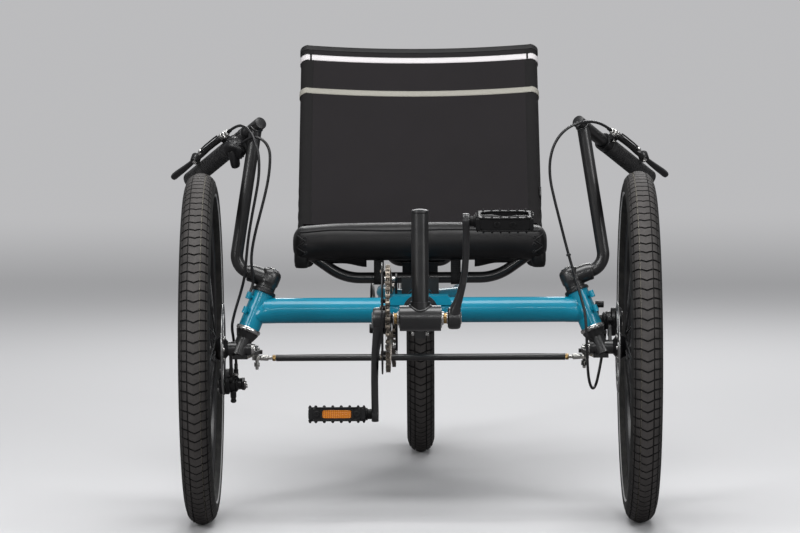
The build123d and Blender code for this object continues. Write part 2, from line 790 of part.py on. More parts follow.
shifter_side = Vector(0.1, -0.9, -0.3)
shifter_side = (shifter_side - grip_line * shifter_side.dot(grip_line)).normalized()
shifter_start = 46.0
with BuildPart() as shifter:
    with BuildSketch(Plane(origin=on_grip(shifter_start), x_dir=shifter_side, z_dir=grip_line)):
        Circle(bar_diameter / 2 + 4)
        with Locations((bar_diameter / 2 + 6, 0)):
            Rectangle(16, 26)
        Circle(bar_diameter / 2 + bore_gap, mode=Mode.SUBTRACT)
    extrude(amount=34)
    pod = on_grip(shifter_start + 17) + shifter_side * (bar_diameter / 2 + 14)
    add(cylinder_between(pod, pod + shifter_side * 12, 32, 27))
    add(cylinder_between(pod + shifter_side * 9, pod + shifter_side * 12 + Vector(-4, 6, -26), 9))
    pod_mouth = pod + shifter_side * 6 - grip_line * 24
    add(cylinder_between(pod + shifter_side * 6, pod_mouth, stop_diameter))
save(mirrored(shifter.part, "shifter"), "shifter")

# ---------------------------------------------------------------- steering link
rod_end_reach = 34.0
rod_half = tie_ball.X - rod_end_reach
with BuildPart() as tie_rod:
    add(cylinder_between((-rod_half, tie_ball.Y, tie_ball.Z), (rod_half, tie_ball.Y, tie_ball.Z),
                         tie_rod_diameter))
save(tie_rod.part, "tie_rod")
with BuildPart() as rod_ends:
    for side in (-1, 1):
        eye = Vector(side * tie_ball.X, tie_ball.Y, tie_ball.Z)
        inner = Vector(side * rod_half, tie_ball.Y, tie_ball.Z)
        add(cylinder_between(eye, inner, 6))
        add(cylinder_between(inner, inner + Vector(side * 5, 0, 0), 11))
        add(cylinder_between(eye - Vector(0, 0, rod_end_height / 2),
                             eye + Vector(0, 0, rod_end_height / 2), rod_end_diameter))
    left_eye = Vector(tie_ball.X, tie_ball.Y, tie_ball.Z)
    add(cylinder_between(left_eye - Vector(0, 0, 9), left_eye + Vector(0, 0, 9), ball_diameter),
        mode=Mode.SUBTRACT)
    add(ball_stud(-tie_ball.X, arm_foot - 2))
save(rod_ends.part, "rod_ends")

# ---------------------------------------------------------------- cranks, ring and pedals
arm_angle = radians(crank_tilt)
arm_up = Vector(0, -sin(arm_angle), cos(arm_angle))
eye_outer = pedal_tread / 2
ring_tip_radius = ring_radius - half_chain - chord_sag(ring_radius) - seat_gap
ring_thickness = 4.0
arm_tables = {
    # share of the arm's length, inner face, outer face, width
    1: [(0.0, 46.0, 66.0, 32.0), (0.45, 58.0, 72.0, 25.0), (1.0, eye_outer - 12, eye_outer, 24.0)],
    -1: [(0.0, 56.0, 78.0, 32.0), (0.45, 66.5, 80.0, 25.0), (1.0, eye_outer - 12, eye_outer, 24.0)],
}


def make_arm(side):
    """Flared crank arm, lofted through the rows of its table."""
    heading = arm_up * side
    rows = arm_tables[side]
    with BuildPart() as arm:
        for share, inner_x, outer_x, width in rows:
            origin = bracket_centre + heading * (crank_length * share)
            origin = origin + Vector(side * (inner_x + outer_x) / 2, 0, 0)
            with BuildSketch(Plane(origin=origin, x_dir=(1, 0, 0), z_dir=heading)):
                Rectangle(outer_x - inner_x, width)
        loft(ruled=True)
        for share, inner_x, outer_x, width in (rows[0], rows[-1]):
            centre = bracket_centre + heading * (crank_length * share)
            add(cylinder_between(centre + Vector(side * inner_x, 0, 0),
                                 centre + Vector(side * outer_x, 0, 0), width + 2))
    return arm.part


spindle_half = 60.0
with BuildPart() as crank_arms:
    add(make_arm(1))
    add(make_arm(-1))
    add(cylinder_between((-spindle_half, bracket_y, bracket_height),
                         (spindle_half, bracket_y, bracket_height), spindle_diameter))
    for side in (-1, 1):
        eye = bracket_centre + arm_up * (side * crank_length)
        add(cylinder_between(eye + Vector(side * (eye_outer - 14), 0, 0),
                             eye + Vector(side * (eye_outer + 1), 0, 0), 14 + 2 * bore_gap),
            mode=Mode.SUBTRACT)
save(crank_arms.part, "crank_arms")

with BuildPart() as chainring:
    with BuildSketch(side_plane(-chain_line)):
        with Locations((bracket_y, bracket_height)):
            Circle(ring_tip_radius)
            Circle(ring_tip_radius - 14, mode=Mode.SUBTRACT)
            Circle(26)
            with PolarLocations(0, 5, start_angle=90):
                with Locations((44, 0)):
                    Rectangle(56, 14)
            Circle(18, mode=Mode.SUBTRACT)
    extrude(amount=ring_thickness / 2, both=True)
    with BuildSketch(side_plane(-chain_line - 9)):
        with Locations((bracket_y, bracket_height)):
            Circle(guard_diameter / 2)
            Circle(guard_diameter / 2 - 24, mode=Mode.SUBTRACT)
    extrude(amount=guard_thickness)
    for index in range(5):
        turn = pi / 2 + 2 * pi * index / 5
        pin_y = bracket_y + (ring_tip_radius - 7) * cos(turn)
        pin_z = bracket_height + (ring_tip_radius - 7) * sin(turn)
        add(cylinder_between((-chain_line, pin_y, pin_z), (-chain_line - 8, pin_y, pin_z), 8))
save(chainring.part, "chainring")


def make_pedal(side, tip_degrees):
    """Cage pedal: two toothed plates, end bridges, barrel and the axle's collar."""
    eye = bracket_centre + arm_up * (side * crank_length)
    inner_x = eye_outer + 8
    tip = radians(tip_degrees)
    across = Vector(0, cos(tip), sin(tip))
    centre = eye + Vector(side * (inner_x + pedal_length / 2), 0, 0)
    face = Plane(origin=centre, x_dir=(1, 0, 0), z_dir=across)
    with BuildPart() as pedal:
        for end in (-1, 1):
            with BuildSketch(face.offset(end * (pedal_depth / 2 - 2))):
                RectangleRounded(pedal_length, pedal_height, 6)
                Rectangle(pedal_length - 30, pedal_height - 12, mode=Mode.SUBTRACT)
            extrude(amount=2, both=True)
        with BuildSketch(face.offset(-pedal_depth / 2 + 2)):
            for end in (-1, 1):
                with Locations((end * (pedal_length / 2 - 8), 0)):
                    Rectangle(10, pedal_height - 8)
        extrude(amount=pedal_depth - 4)
        add(cylinder_between(centre - Vector(side * pedal_length / 2, 0, 0),
                             centre + Vector(side * (pedal_length / 2 - 8), 0, 0), 22))
        add(cylinder_between(eye + Vector(side * (eye_outer - 10), 0, 0), centre, 14))
    return pedal.part


save(make_pedal(1, 8), "pedal_left")
save(make_pedal(-1, -6), "pedal_right")

# ---------------------------------------------------------------- idler and derailleur
pulley_body = pulley_radius - half_chain - chord_sag(pulley_radius) - seat_gap
plate_x = -chain_line + chain_width / 2 + 5
with BuildPart() as chain_idler:
    with BuildSketch(side_plane(plate_x)):
        with BuildLine():
            Polyline((power_idler[0] - 9, power_idler[1] + 4), (power_idler[0] + 8, power_idler[1] + 8),
                     (cross_y + 98, main_z), (return_idler[0] + 9, return_idler[1] + 4),
                     (return_idler[0] - 2, return_idler[1] - 9), (return_idler[0] - 12, return_idler[1]),
                     (cross_y + 72, main_z), close=True)
        make_face()
    extrude(amount=4)
    for y, z in (power_idler, return_idler):
        add(cylinder_between((-chain_line - chain_width / 2, y, z),
                             (-chain_line + chain_width / 2, y, z), 2 * pulley_body))
        add(cylinder_between((-chain_line - chain_width / 2 - 4, y, z), (plate_x + 4, y, z), 10))
    add(cylinder_between((plate_x, cross_y + 85, main_z), (-12, cross_y + 85, main_z), 24))
    add(cylinder_between((0, cross_y, main_z), (0, main_rear, main_z),
                         main_tube_diameter + 2 * seat_gap), mode=Mode.SUBTRACT)
save(chain_idler.part, "chain_idler")

cage_gap = chain_width / 2 + 1.2
hanger = Vector(-dropout_inner - dropout_thickness / 2, rear_y + 10, axle_height - 27)
adjuster_mouth = Vector(-95, rear_y + 34, axle_height - 52)
with BuildPart() as rear_derailleur:
    for y, z in (guide_pulley, tension_pulley):
        add(cylinder_between((-chain_line - chain_width / 2, y, z),
                             (-chain_line + chain_width / 2, y, z), 2 * pulley_body))
        add(cylinder_between((-chain_line - cage_gap - 3, y, z),
                             (-chain_line + cage_gap + 3, y, z), 8))
    for cage_x in (-chain_line - cage_gap - 2, -chain_line + cage_gap):
        with BuildSketch(side_plane(cage_x)):
            with BuildLine():
                Polyline((guide_pulley[0] - 8, guide_pulley[1] + 8),
                         (guide_pulley[0] + 10, guide_pulley[1] + 6),
                         (tension_pulley[0] + 10, tension_pulley[1] - 6),
                         (tension_pulley[0] - 8, tension_pulley[1] - 8), close=True)
            make_face()
        extrude(amount=2)
    knuckle_x = -chain_line - 40
    adjuster_foot = Vector(knuckle_x, guide_pulley[0] + 8, guide_pulley[1])
    add(cylinder_between((-chain_line - cage_gap - 2, *guide_pulley),
                         (knuckle_x - 10, *guide_pulley), 24))
    add(cylinder_between((knuckle_x, *guide_pulley), (hanger.X - 15, hanger.Y, hanger.Z), 18, 20))
    add(cylinder_between(hanger - Vector(dropout_thickness / 2 + seat_gap, 0, 0),
                         hanger - Vector(24, 0, 0), 20))
    add(cylinder_between(adjuster_foot, adjuster_mouth, stop_diameter))
save(rear_derailleur.part, "rear_derailleur")

with BuildPart() as rear_axle:
    nut_start = dropout_inner + dropout_thickness
    add(cylinder_between((-nut_start - 9, rear_y, axle_height), (nut_start + 9, rear_y, axle_height),
                         rear_axle_diameter))
    for side in (-1, 1):
        add(cylinder_between((side * nut_start, rear_y, axle_height),
                             (side * (nut_start + 7), rear_y, axle_height), 17))
save(rear_axle.part, "rear_axle")

# ---------------------------------------------------------------- seat
rail_x = seat_width / 2 - sleeve_diameter / 2
front_rail_z = nose_bottom + 22
rail_front = (rail_x, front_y + front_clamp_setback, front_rail_z)
rail_bend = (rail_x, front_y + bend_setback, bend_height)
rail_top = (rail_x, front_y + back_setback, back_height)
support_x = 137.0
support_front = (support_x, front_y + front_clamp_setback, support_height)


def across(point):
    """The same point on the other side."""
    return (-point[0], point[1], point[2])


rail_route = [rail_top, rail_bend, rail_front, support_front]
rail_radii = [120.0, 26.0, 95.0]
strut_top = (rail_x, front_y + 716, 659)
strut_foot = (48, front_y + rear_clamp_setback, main_z + main_tube_diameter / 2 + clamp_wall + 8)
brace_middle = (rail_x - 60, front_y + 806, 708)
brace_end = (rail_x, front_y + 790, 733.6)
strut_route = [strut_top, strut_foot, across(strut_foot), across(strut_top)]
strut_radius = 24.0
strut_diameter = 16.0
brace_route = [brace_end, brace_middle, across(brace_middle), across(brace_end)]
brace_radius = 30.0
brace_diameter = 14.0
with BuildPart() as seat_frame:
    add(bent_tube([*rail_route, *[across(p) for p in reversed(rail_route)]],
                  rail_radii + rail_radii[::-1], seat_tube_diameter))
    add(bent_tube(strut_route, strut_radius, strut_diameter))
    add(bent_tube(brace_route, brace_radius, brace_diameter))
save(seat_frame.part, "seat_frame")

clamp_outer = main_tube_diameter / 2 + clamp_wall
with BuildPart() as seat_clamps:
    for setback, saddle_z, tube_diameter in (
            (front_clamp_setback, support_height, seat_tube_diameter),
            (rear_clamp_setback, strut_foot[2], strut_diameter)):
        y = front_y + setback
        with BuildSketch(Plane.XZ.offset(-y - clamp_length / 2)):
            with Locations((0, main_z)):
                Circle(clamp_outer)
                with Locations((0, (saddle_z - main_z) / 2)):
                    Rectangle(2 * clamp_outer, saddle_z - main_z)
                with Locations((0, -clamp_outer)):
                    Rectangle(20, 18)
        extrude(amount=clamp_length)
        with BuildSketch(Plane.XZ.offset(-y - clamp_length / 2 - 1)):
            with Locations((0, main_z)):
                Circle(main_tube_diameter / 2 + seat_gap)
        extrude(amount=clamp_length + 2, mode=Mode.SUBTRACT)
        add(cylinder_between((-60, y, saddle_z), (60, y, saddle_z), tube_diameter + 2 * bore_gap),
            mode=Mode.SUBTRACT)
save(seat_clamps.part, "seat_clamps")

sling_lift = 7.0
sleeve_route = [rail_top, rail_bend, rail_front]
sleeve_inner = seat_width / 2 - sleeve_diameter


def sling_band(x_low, x_high, lift, thickness):
    """Band that follows the seat's side rails from one x to another."""
    with BuildPart() as band:
        with BuildSketch(side_plane(x_low)):
            with BuildLine():
                FilletPolyline(*[(y, z + lift) for _, y, z in sleeve_route], radius=rail_radii[0])
                offset(amount=thickness / 2, side=Side.BOTH, closed=True)
            make_face()
        extrude(amount=x_high - x_low)
    return band.part


with BuildPart() as seat_sling:
    add(sling_band(-seat_width / 2, -sleeve_inner, 0, sleeve_diameter))
    add(sling_band(sleeve_inner, seat_width / 2, 0, sleeve_diameter))
    add(sling_band(-sleeve_inner - 1, sleeve_inner + 1, sling_lift, sling_thickness))
    with BuildSketch(side_plane(-seat_width / 2)):
        with Locations((front_y + seat_front + nose_depth / 2, (nose_top + nose_bottom) / 2)):
            RectangleRounded(nose_depth, nose_top - nose_bottom, 30)
    extrude(amount=seat_width)
    rail_hole = bent_tube(rail_route, rail_radii[:2], seat_tube_diameter + 2 * seat_gap)
    add(rail_hole, mode=Mode.SUBTRACT)
    add(mirrored(rail_hole, "hole"), mode=Mode.SUBTRACT)
    add(bent_tube(strut_route, strut_radius, strut_diameter + 2 * seat_gap), mode=Mode.SUBTRACT)
    add(bent_tube(brace_route, brace_radius, brace_diameter + 2 * seat_gap), mode=Mode.SUBTRACT)
save(seat_sling.part, "seat_sling")

# ---------------------------------------------------------------- cables
lever_mouth = on_grip(lever_body_start - 14, lever_offset + 1)
shift_stop_height, shift_stop_degrees = head_stops[0]
shift_stop_mouth = around_head(shift_stop_height + stop_length / 2 + seat_gap,
                               shift_stop_degrees, stop_reach)
# Routes are on the rider's left; those of the right side are mirrored after they are made.
left_brake_route = [
    # x, y behind the front axles, z
    (306, 25, 704), (279, 4, 703), (254, -7, 691), (236, -10, 668), (227.5, -9, 638), (228, -8, 604),
    (236, -6, 568), (246, -4, 528), (256, -4, 488), (265, -4, 455), (273, -6, 428), (281, -11, 400),
    (289, -16, 371), (291, -21, 336), (292, -20, 300), (293, -21, 270), (296, -13, 247), (302, 5, 233),
    (309, 27, 237), (315, 42, 259),
]
right_brake_route = [
    (312, 24, 701), (297, 1, 692), (286, -12, 672), (280.5, -15, 645), (281, -14, 612),
    (287, -11, 578), (294.5, -8, 541), (301, -6, 503), (305, -3, 466), (308, 2, 434),
]
right_brake_bends = [
    # distance along the steering axis, degrees round it, radius
    (18, -8, 37), (-6, 0, 35), (-24, 8, 33.5), (-41, 16, 31.5),
]
right_brake_end = [(329.5, 22.5, 325), (327.5, 26.5, 306)]
shift_front_route = [
    (275, -5, 678), (262, -8, 660), (261.5, -9, 635), (265, -8, 606), (271.5, -7, 577), (280, -5, 545),
    (289, -5, 512), (295.5, -5, 478), (296, -4, 455), (293.5, 1.5, 437),
]
shift_rear_route = [
    (-176, 76, 368), (-152, 84, 360), (-120, 85, 354), (-88, 81, 350), (-58, 78, 347), (-39, 85, 346),
    (-29, 103, 346), (-26, 132, 346), (-26.3, 180, 345.7), (-26, 235, 346), (-26.3, 290, 345.7),
    (-26, 350, 346), (-26.4, 410, 345.7), (-26, 470, 346), (-26.3, 530, 345.6), (-26, 590, 346),
    (-28, 640, 342), (-36, 680, 331), (-50, 712, 325), (-66, 748, 324), (-75, 795, 328),
    (-76, 850, 326), (-76, 905, 324), (-76.5, 960, 317), (-78, 1008, 308), (-82, 1040, 301),
    (-88, 1070, 299), (-92, 1096, 308), (-94, 1122, 325), (-96, 1150, 336), (-98, 1178, 333),
    (-99, 1196, 313), (-99, 1196, 288),
]


def from_axle(route):
    """A route's points with y measured from the model's origin."""
    return [Vector(x, front_y + y, z) for x, y, z in route]


def cable(points):
    """Cable through the points, each bend as large as its two runs allow."""
    radii = []
    for before, here, after in zip(points, points[1:], points[2:]):
        arrive = here - before
        leave = after - here
        turn = radians(arrive.get_angle(leave))
        radii.append(0.45 * min(arrive.length, leave.length) / tan(turn / 2))
    print("bend radii", [round(radius) for radius in radii])
    return bent_tube(points, radii, cable_diameter)


def square_on(stop, distance):
    """Point straight out from the mouth of a (mouth, root) stop."""
    mouth, root = stop
    return mouth + (mouth - root).normalized() * distance


left_stop = caliper_stops["left"]
right_stop = caliper_stops["right"]
adjuster = (adjuster_mouth, adjuster_foot)
left_brake = cable([lever_mouth, lever_mouth - grip_line * 20, *from_axle(left_brake_route),
                    square_on(left_stop, 24), left_stop[0]])
save(left_brake, "brake_cable_left")
right_brake = cable([lever_mouth, lever_mouth - grip_line * 20, *from_axle(right_brake_route),
                     *[around_head(*bend) for bend in right_brake_bends],
                     *from_axle(right_brake_end), square_on(right_stop, 18), right_stop[0]])
save(mirrored(right_brake, "brake_cable_right"), "brake_cable_right")
shift_front = cable([pod_mouth, pod_mouth - grip_line * 30, *from_axle(shift_front_route),
                     shift_stop_mouth + kingpin * 15, shift_stop_mouth])
save(mirrored(shift_front, "shift_cable_front"), "shift_cable_front")
grommet_mouth = Vector(-grommet_x, cross_y + cross_tube_diameter / 2 + 4, cross_tube_height)
shift_rear = cable([grommet_mouth, grommet_mouth + Vector(0, 20, 0), *from_axle(shift_rear_route),
                    square_on(adjuster, 30), adjuster_mouth])
save(shift_rear, "shift_cable_rear")
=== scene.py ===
# %% [markdown]
# # Dressing a tadpole recumbent trike
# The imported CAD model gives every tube, joint and size. This notebook adds what a maker's hands
# add to it: paint, tread, spokes, links, cloth and cables. Every length below is in millimetres
# in the model's own axes: +Z is up, the rider faces -Y, and +X is the rider's left.

# %% Load the frame
from math import cos, pi, radians, sin

import bmesh
import bpy
import numpy as np
from mathutils import Matrix


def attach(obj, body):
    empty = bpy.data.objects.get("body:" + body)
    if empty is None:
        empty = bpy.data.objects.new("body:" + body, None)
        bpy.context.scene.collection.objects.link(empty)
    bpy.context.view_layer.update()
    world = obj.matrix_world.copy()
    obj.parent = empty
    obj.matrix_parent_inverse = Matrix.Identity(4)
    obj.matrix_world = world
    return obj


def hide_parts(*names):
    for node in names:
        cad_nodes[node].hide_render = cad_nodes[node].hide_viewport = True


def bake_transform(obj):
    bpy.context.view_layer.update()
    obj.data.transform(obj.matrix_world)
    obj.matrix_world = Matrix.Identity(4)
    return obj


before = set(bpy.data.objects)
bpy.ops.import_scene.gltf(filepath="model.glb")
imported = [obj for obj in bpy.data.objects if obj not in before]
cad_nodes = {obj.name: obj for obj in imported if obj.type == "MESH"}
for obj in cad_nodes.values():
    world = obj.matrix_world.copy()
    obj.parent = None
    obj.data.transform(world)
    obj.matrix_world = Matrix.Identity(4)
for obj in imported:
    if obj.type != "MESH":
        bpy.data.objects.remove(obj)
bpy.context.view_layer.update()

# %% [markdown]
# ## Places
# Wheels, pivots and tubes sit where the CAD model has them, so the places below are its own.

# %% Places on the trike
front_y, rear_y, axle_z = -418.25, 701.75, 308.5
pivot_line = np.array([-0.375511, 0.192696, 0.906565])
head_middle = np.array([288.869, -404.328, 374.0])
grip_line = np.array([0.545487, 0.707335, -0.449578])
lever_side = np.array([0.806914, -0.298220, 0.509857])
grip_top = np.array([278.5, -398.25, 704.0])
bracket = np.array([0.0, -918.25, 402.0])
flip = np.array([-1.0, 1.0, 1.0])
sides = {"left": np.ones(3), "right": flip}
wheels = {
    # name: middle of the wheel, the body that it turns with, side of the hub's brake or cogs
    "left": (np.array([384.0, front_y, axle_z]), "front_wheel_left", -1),
    "right": (np.array([-384.0, front_y, axle_z]), "front_wheel_right", 1),
    "rear": (np.array([0.0, rear_y, axle_z]), "rear_wheel", -1),
}
print("wheelbase", rear_y - front_y, "track", 2 * wheels["left"][0][0])

# %% [markdown]
# ## Surfaces from arrays
# Almost every piece of a bicycle is turned, drawn or pressed, so three surfaces make them all:
# a profile turned round a line, a section carried along a path, and an outline with thickness.
# Each is an array of points [row, column]; the collector below joins them with quads.

# %% Placing and collecting
def unit(vectors):
    """Each vector divided by its own length."""
    vectors = np.asarray(vectors, float)
    return vectors / np.linalg.norm(vectors, axis=-1, keepdims=True)


class Place:
    """Local axes at a point: local z runs along one direction, and local x leans to another."""

    def __init__(self, origin, z, x=(0.3, 0.2, 1.0)):
        z = unit(z)
        x = unit(np.asarray(x, float) - z * np.dot(x, z))
        self.origin = np.asarray(origin, float)
        self.axes = np.array([x, np.cross(z, x), z])

    def __call__(self, points):
        """origin + x * side + y * up + z * along, for a whole array of local points."""
        return self.origin + np.asarray(points, float) @ self.axes


class Shape:
    """Gathers surfaces in millimetres until they become one object."""

    def __init__(self):
        self.points, self.faces, self.coords, self.count = [], [], [], 0

    def grid(self, points, around=True, along=False, ends=False, keep=None, u=None):
        """Quads between points[row, column]; around and along join the last back to the first."""
        rows, columns = points.shape[:2]
        u = np.arange(columns) / columns if u is None else u
        u = np.append(u, 1.0)
        row, column = np.meshgrid(np.arange(rows if along else rows - 1),
                                  np.arange(columns if around else columns - 1), indexing="ij")
        corners = [(row, column), (row, column + 1), (row + 1, column + 1), (row + 1, column)]
        index = np.stack([r % rows * columns + c % columns for r, c in corners], -1)
        coords = np.stack([np.stack([u[c], r / rows], -1) for r, c in corners], -2)
        chosen = np.ones(row.shape, bool) if keep is None else keep
        self.faces += (index[chosen] + self.count).tolist()
        self.coords.append(coords[chosen].reshape(-1, 2))
        if ends:
            ring = np.arange(columns)
            for cap in (ring[::-1], ring + (rows - 1) * columns):
                self.faces.append((cap + self.count).tolist())
                self.coords.append(np.zeros((columns, 2)))
        self.points.append(points.reshape(-1, 3))
        self.count += rows * columns
        return self

    def mirrored(self):
        """The same surfaces on the other side of the trike."""
        other = Shape()
        other.points = [points * flip for points in self.points]
        other.faces, other.coords, other.count = self.faces, self.coords, self.count
        return other

    def become(self, name, body, finish, replaces=(), crease=35, slot=""):
        """Makes the object, facing outwards, and lets it ride on its body. The slot argument is
        not used. A piece that shares its name with a CAD node is that node's skin, and takes its
        place."""
        if name in cad_nodes:
            name, replaces = name + "_skin", [name]
        mesh = bpy.data.meshes.new(name)
        mesh.from_pydata((np.concatenate(self.points) / 1000).tolist(), [], self.faces)
        layer = mesh.uv_layers.new(name="UVMap")
        layer.data.foreach_set("uv", np.concatenate(self.coords).ravel())
        piece = add(name, mesh)
        face_outwards(mesh)
        mesh.polygons.foreach_set("use_smooth", np.ones(len(mesh.polygons), bool))
        mesh.set_sharp_from_angle(angle=radians(crease))
        mesh.materials.append(finish.material)
        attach(piece, body)
        if replaces:
            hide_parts(*replaces)
        print(name, len(mesh.polygons), "faces")
        return piece


# %% [markdown]
# A mirrored or spun surface can come out inside out. Blender can settle it: for each closed
# shell it turns the faces so that they point away from the inside. Cloth and tape are drawn as
# one surface, and a Solidify modifier gives them their thickness.

# %% Objects in the scene
def add(name, data):
    """A new object of this mesh, lamp or camera, linked to the scene."""
    piece = bpy.data.objects.new(name, data)
    bpy.context.scene.collection.objects.link(piece)
    return piece


def thicken(piece, metres):
    """Thickness to both sides of a surface."""
    modifier = piece.modifiers.new("thickness", "SOLIDIFY")
    modifier.thickness, modifier.offset = metres, 0.0
    return piece


def face_outwards(mesh):
    """Turns the faces of every closed shell outwards."""
    shell = bmesh.new()
    shell.from_mesh(mesh)
    bmesh.ops.recalc_face_normals(shell, faces=shell.faces)
    shell.to_mesh(mesh)
    shell.free()


print("pieces can be made")

# %% [markdown]
# Now the three surfaces themselves, and the curved path that hoses, arms and straps follow.

# %% Turned, carried and plated surfaces
def circle(count):
    """(cos, sin) of count angles round a full turn."""
    turn = 2 * pi * np.arange(count) / count
    return np.stack([np.cos(turn), np.sin(turn)], -1)


def turned(profile, place, count, wobble=1.0):
    """Point (r, h) of the profile goes to (r cos a, r sin a, h) for every angle a."""
    profile = np.asarray(profile, float)
    ring = circle(count)[None] * profile[:, :1, None] * np.reshape(wobble, (1, -1, 1))
    height = np.broadcast_to(profile[:, 1:, None], (len(profile), count, 1))
    return place(np.concatenate([ring, height], -1))


def lathe(shape, profile, place, count, closed=False, wobble=1.0):
    """Adds a turned profile; an open one gets flat ends."""
    return shape.grid(turned(profile, place, count, wobble), along=closed, ends=not closed)


def knurl(count, points, depth):
    """Radius factors that step out and in again count times round a turned part."""
    return 1 + depth * np.sign(np.cos(count * 2 * pi * np.arange(points) / points))


def curved(points, steps):
    """Parabolas from one run's middle to the next, each pulled by the corner between them."""
    points = np.asarray(points, float)
    middles = (points[:-1] + points[1:]) / 2
    t = (np.arange(steps) / steps)[None, :, None]
    start, corner, end = middles[:-1, None], points[1:-1, None], middles[1:, None]
    bends = (1 - t) ** 2 * start + 2 * t * (1 - t) * corner + t ** 2 * end
    bends = bends.reshape(-1, points.shape[-1])
    return np.concatenate([points[:1], bends, middles[-1:], points[-1:]])


def path_axes(path, closed, lean):
    """Two unit vectors square to the path at each point; lean is a direction it never takes."""
    if closed:
        along = unit(np.roll(path, -1, 0) - np.roll(path, 1, 0))
    else:
        along = unit(np.gradient(path, axis=0))
    if lean is None:
        lean = np.linalg.svd(along)[2][-1]
    side = unit(np.cross(along, lean))
    return side, np.cross(side, along)


def carried(path, section, size=1.0, closed=False, lean=None):
    """Point (a, b) of the section goes to path + a * side + b * up, scaled along the way."""
    path = np.asarray(path, float)
    side, up = path_axes(path, closed, lean)
    size = np.broadcast_to(np.reshape(np.asarray(size, float), (-1, 1, 1)), (len(path), 1, 1))
    section = np.asarray(section, float)
    if section.ndim == 2:
        section = section[None]
    return (path[:, None] + (section[..., :1] * size) * side[:, None]
            + (section[..., 1:] * size) * up[:, None])


def tube(shape, path, radius, count, closed=False):
    """Adds a round tube along a path; radius may change from point to point."""
    rings = carried(path, circle(count), radius, closed)
    return shape.grid(rings, along=closed, ends=not closed)


def oval(width, height, power, count):
    """Superellipse: x = w/2 * sign(cos a) * |cos a|^(2/p), and y the same with the sine."""
    ring = circle(count)
    return np.sign(ring) * np.abs(ring) ** (2 / power) * np.array([width, height]) / 2


def plate(shape, outline, place, low, high, bevel):
    """Adds an outline with thickness, its edges taken off by shrinking the outer rings."""
    outline = np.asarray(outline, float)
    middle = outline.mean(0)
    reach = np.abs(outline - middle).max()
    shrink = [1 - bevel / reach, 1.0, 1.0, 1 - bevel / reach]
    heights = [low, low + bevel, high - bevel, high]
    rings = [np.column_stack([middle + (outline - middle) * s, np.full(len(outline), h)])
             for s, h in zip(shrink, heights)]
    return shape.grid(place(np.array(rings)), ends=True)


def hoop(shape, outer, inner, low, high, place, bevel, count):
    """Adds a flat ring; outer and inner may be arrays of radii, one for each angle."""
    outer = np.broadcast_to(outer, count)
    inner = np.broadcast_to(inner, count)
    radii = [outer - bevel, outer, outer, outer - bevel,
             inner + bevel, inner, inner, inner + bevel]
    heights = [low, low + bevel, high - bevel, high, high, high - bevel, low + bevel, low]
    ring = circle(count)
    rings = [np.column_stack([ring * r[:, None], np.full(count, h)])
             for r, h in zip(radii, heights)]
    return shape.grid(place(np.array(rings)), along=True)


def bolt(shape, place, radius, height):
    """Socket-head bolt: a turned head, and a six-sided socket whose flats lie at 0.866 r."""
    hexagon = np.where(np.arange(12) % 2, 0.866, 1.0)
    head = turned([(radius, -1), (radius, 0.85 * height), (0.88 * radius, height)], place, 12)
    socket = turned([(0.56 * radius, height), (0.54 * radius, 0.4 * height)], place, 12, hexagon)
    return shape.grid(np.concatenate([head, socket]), ends=True)


print("surfaces ready")

# %% [markdown]
# ## Finishes
# Every finish is a Principled shader with a few patterns on Object coordinates or on the
# piece's own UV map. Shader maths reads as plain sums: a Wire is one number socket, and the
# operators on it add the Math nodes.

# %% Wires and finishes
class Wire:
    """A socket that takes part in Python sums; each operator adds one Math node."""

    def __init__(self, finish, socket):
        self.finish, self.socket = finish, socket

    def math(self, operation, *others):
        """One Math node of these numbers or wires."""
        return self.finish.node("ShaderNodeMath", {"operation": operation},
                                dict(enumerate((self, *others))))

    def __add__(self, other):
        return self.math("ADD", other)

    def __sub__(self, other):
        return self.math("SUBTRACT", other)

    def __rsub__(self, other):
        return (self * -1.0).math("ADD", other)

    def __mul__(self, other):
        return self.math("MULTIPLY", other)

    __radd__ = __add__
    __rmul__ = __mul__

    def between(self, low, high):
        """0 at low and below, 1 at high and above, and smooth in the middle."""
        settings = {"interpolation_type": "SMOOTHSTEP"}
        return self.finish.node("ShaderNodeMapRange", settings,
                                {"Value": self, "From Min": low, "From Max": high})

    def band(self, start, full, fading, end):
        """0 up to start, 1 from full to fading, and 0 again from end on."""
        return self.between(start, full) * (1 - self.between(fading, end))

    def stripe(self, period, share):
        """1 on a share of each period, 0 on the rest."""
        return (self * (1 / period)).math("FRACT").math("LESS_THAN", share)

    def wave(self, period):
        """(1 + sin(2 pi x / period)) / 2."""
        return (self * (2 * pi / period)).math("SINE") * 0.5 + 0.5


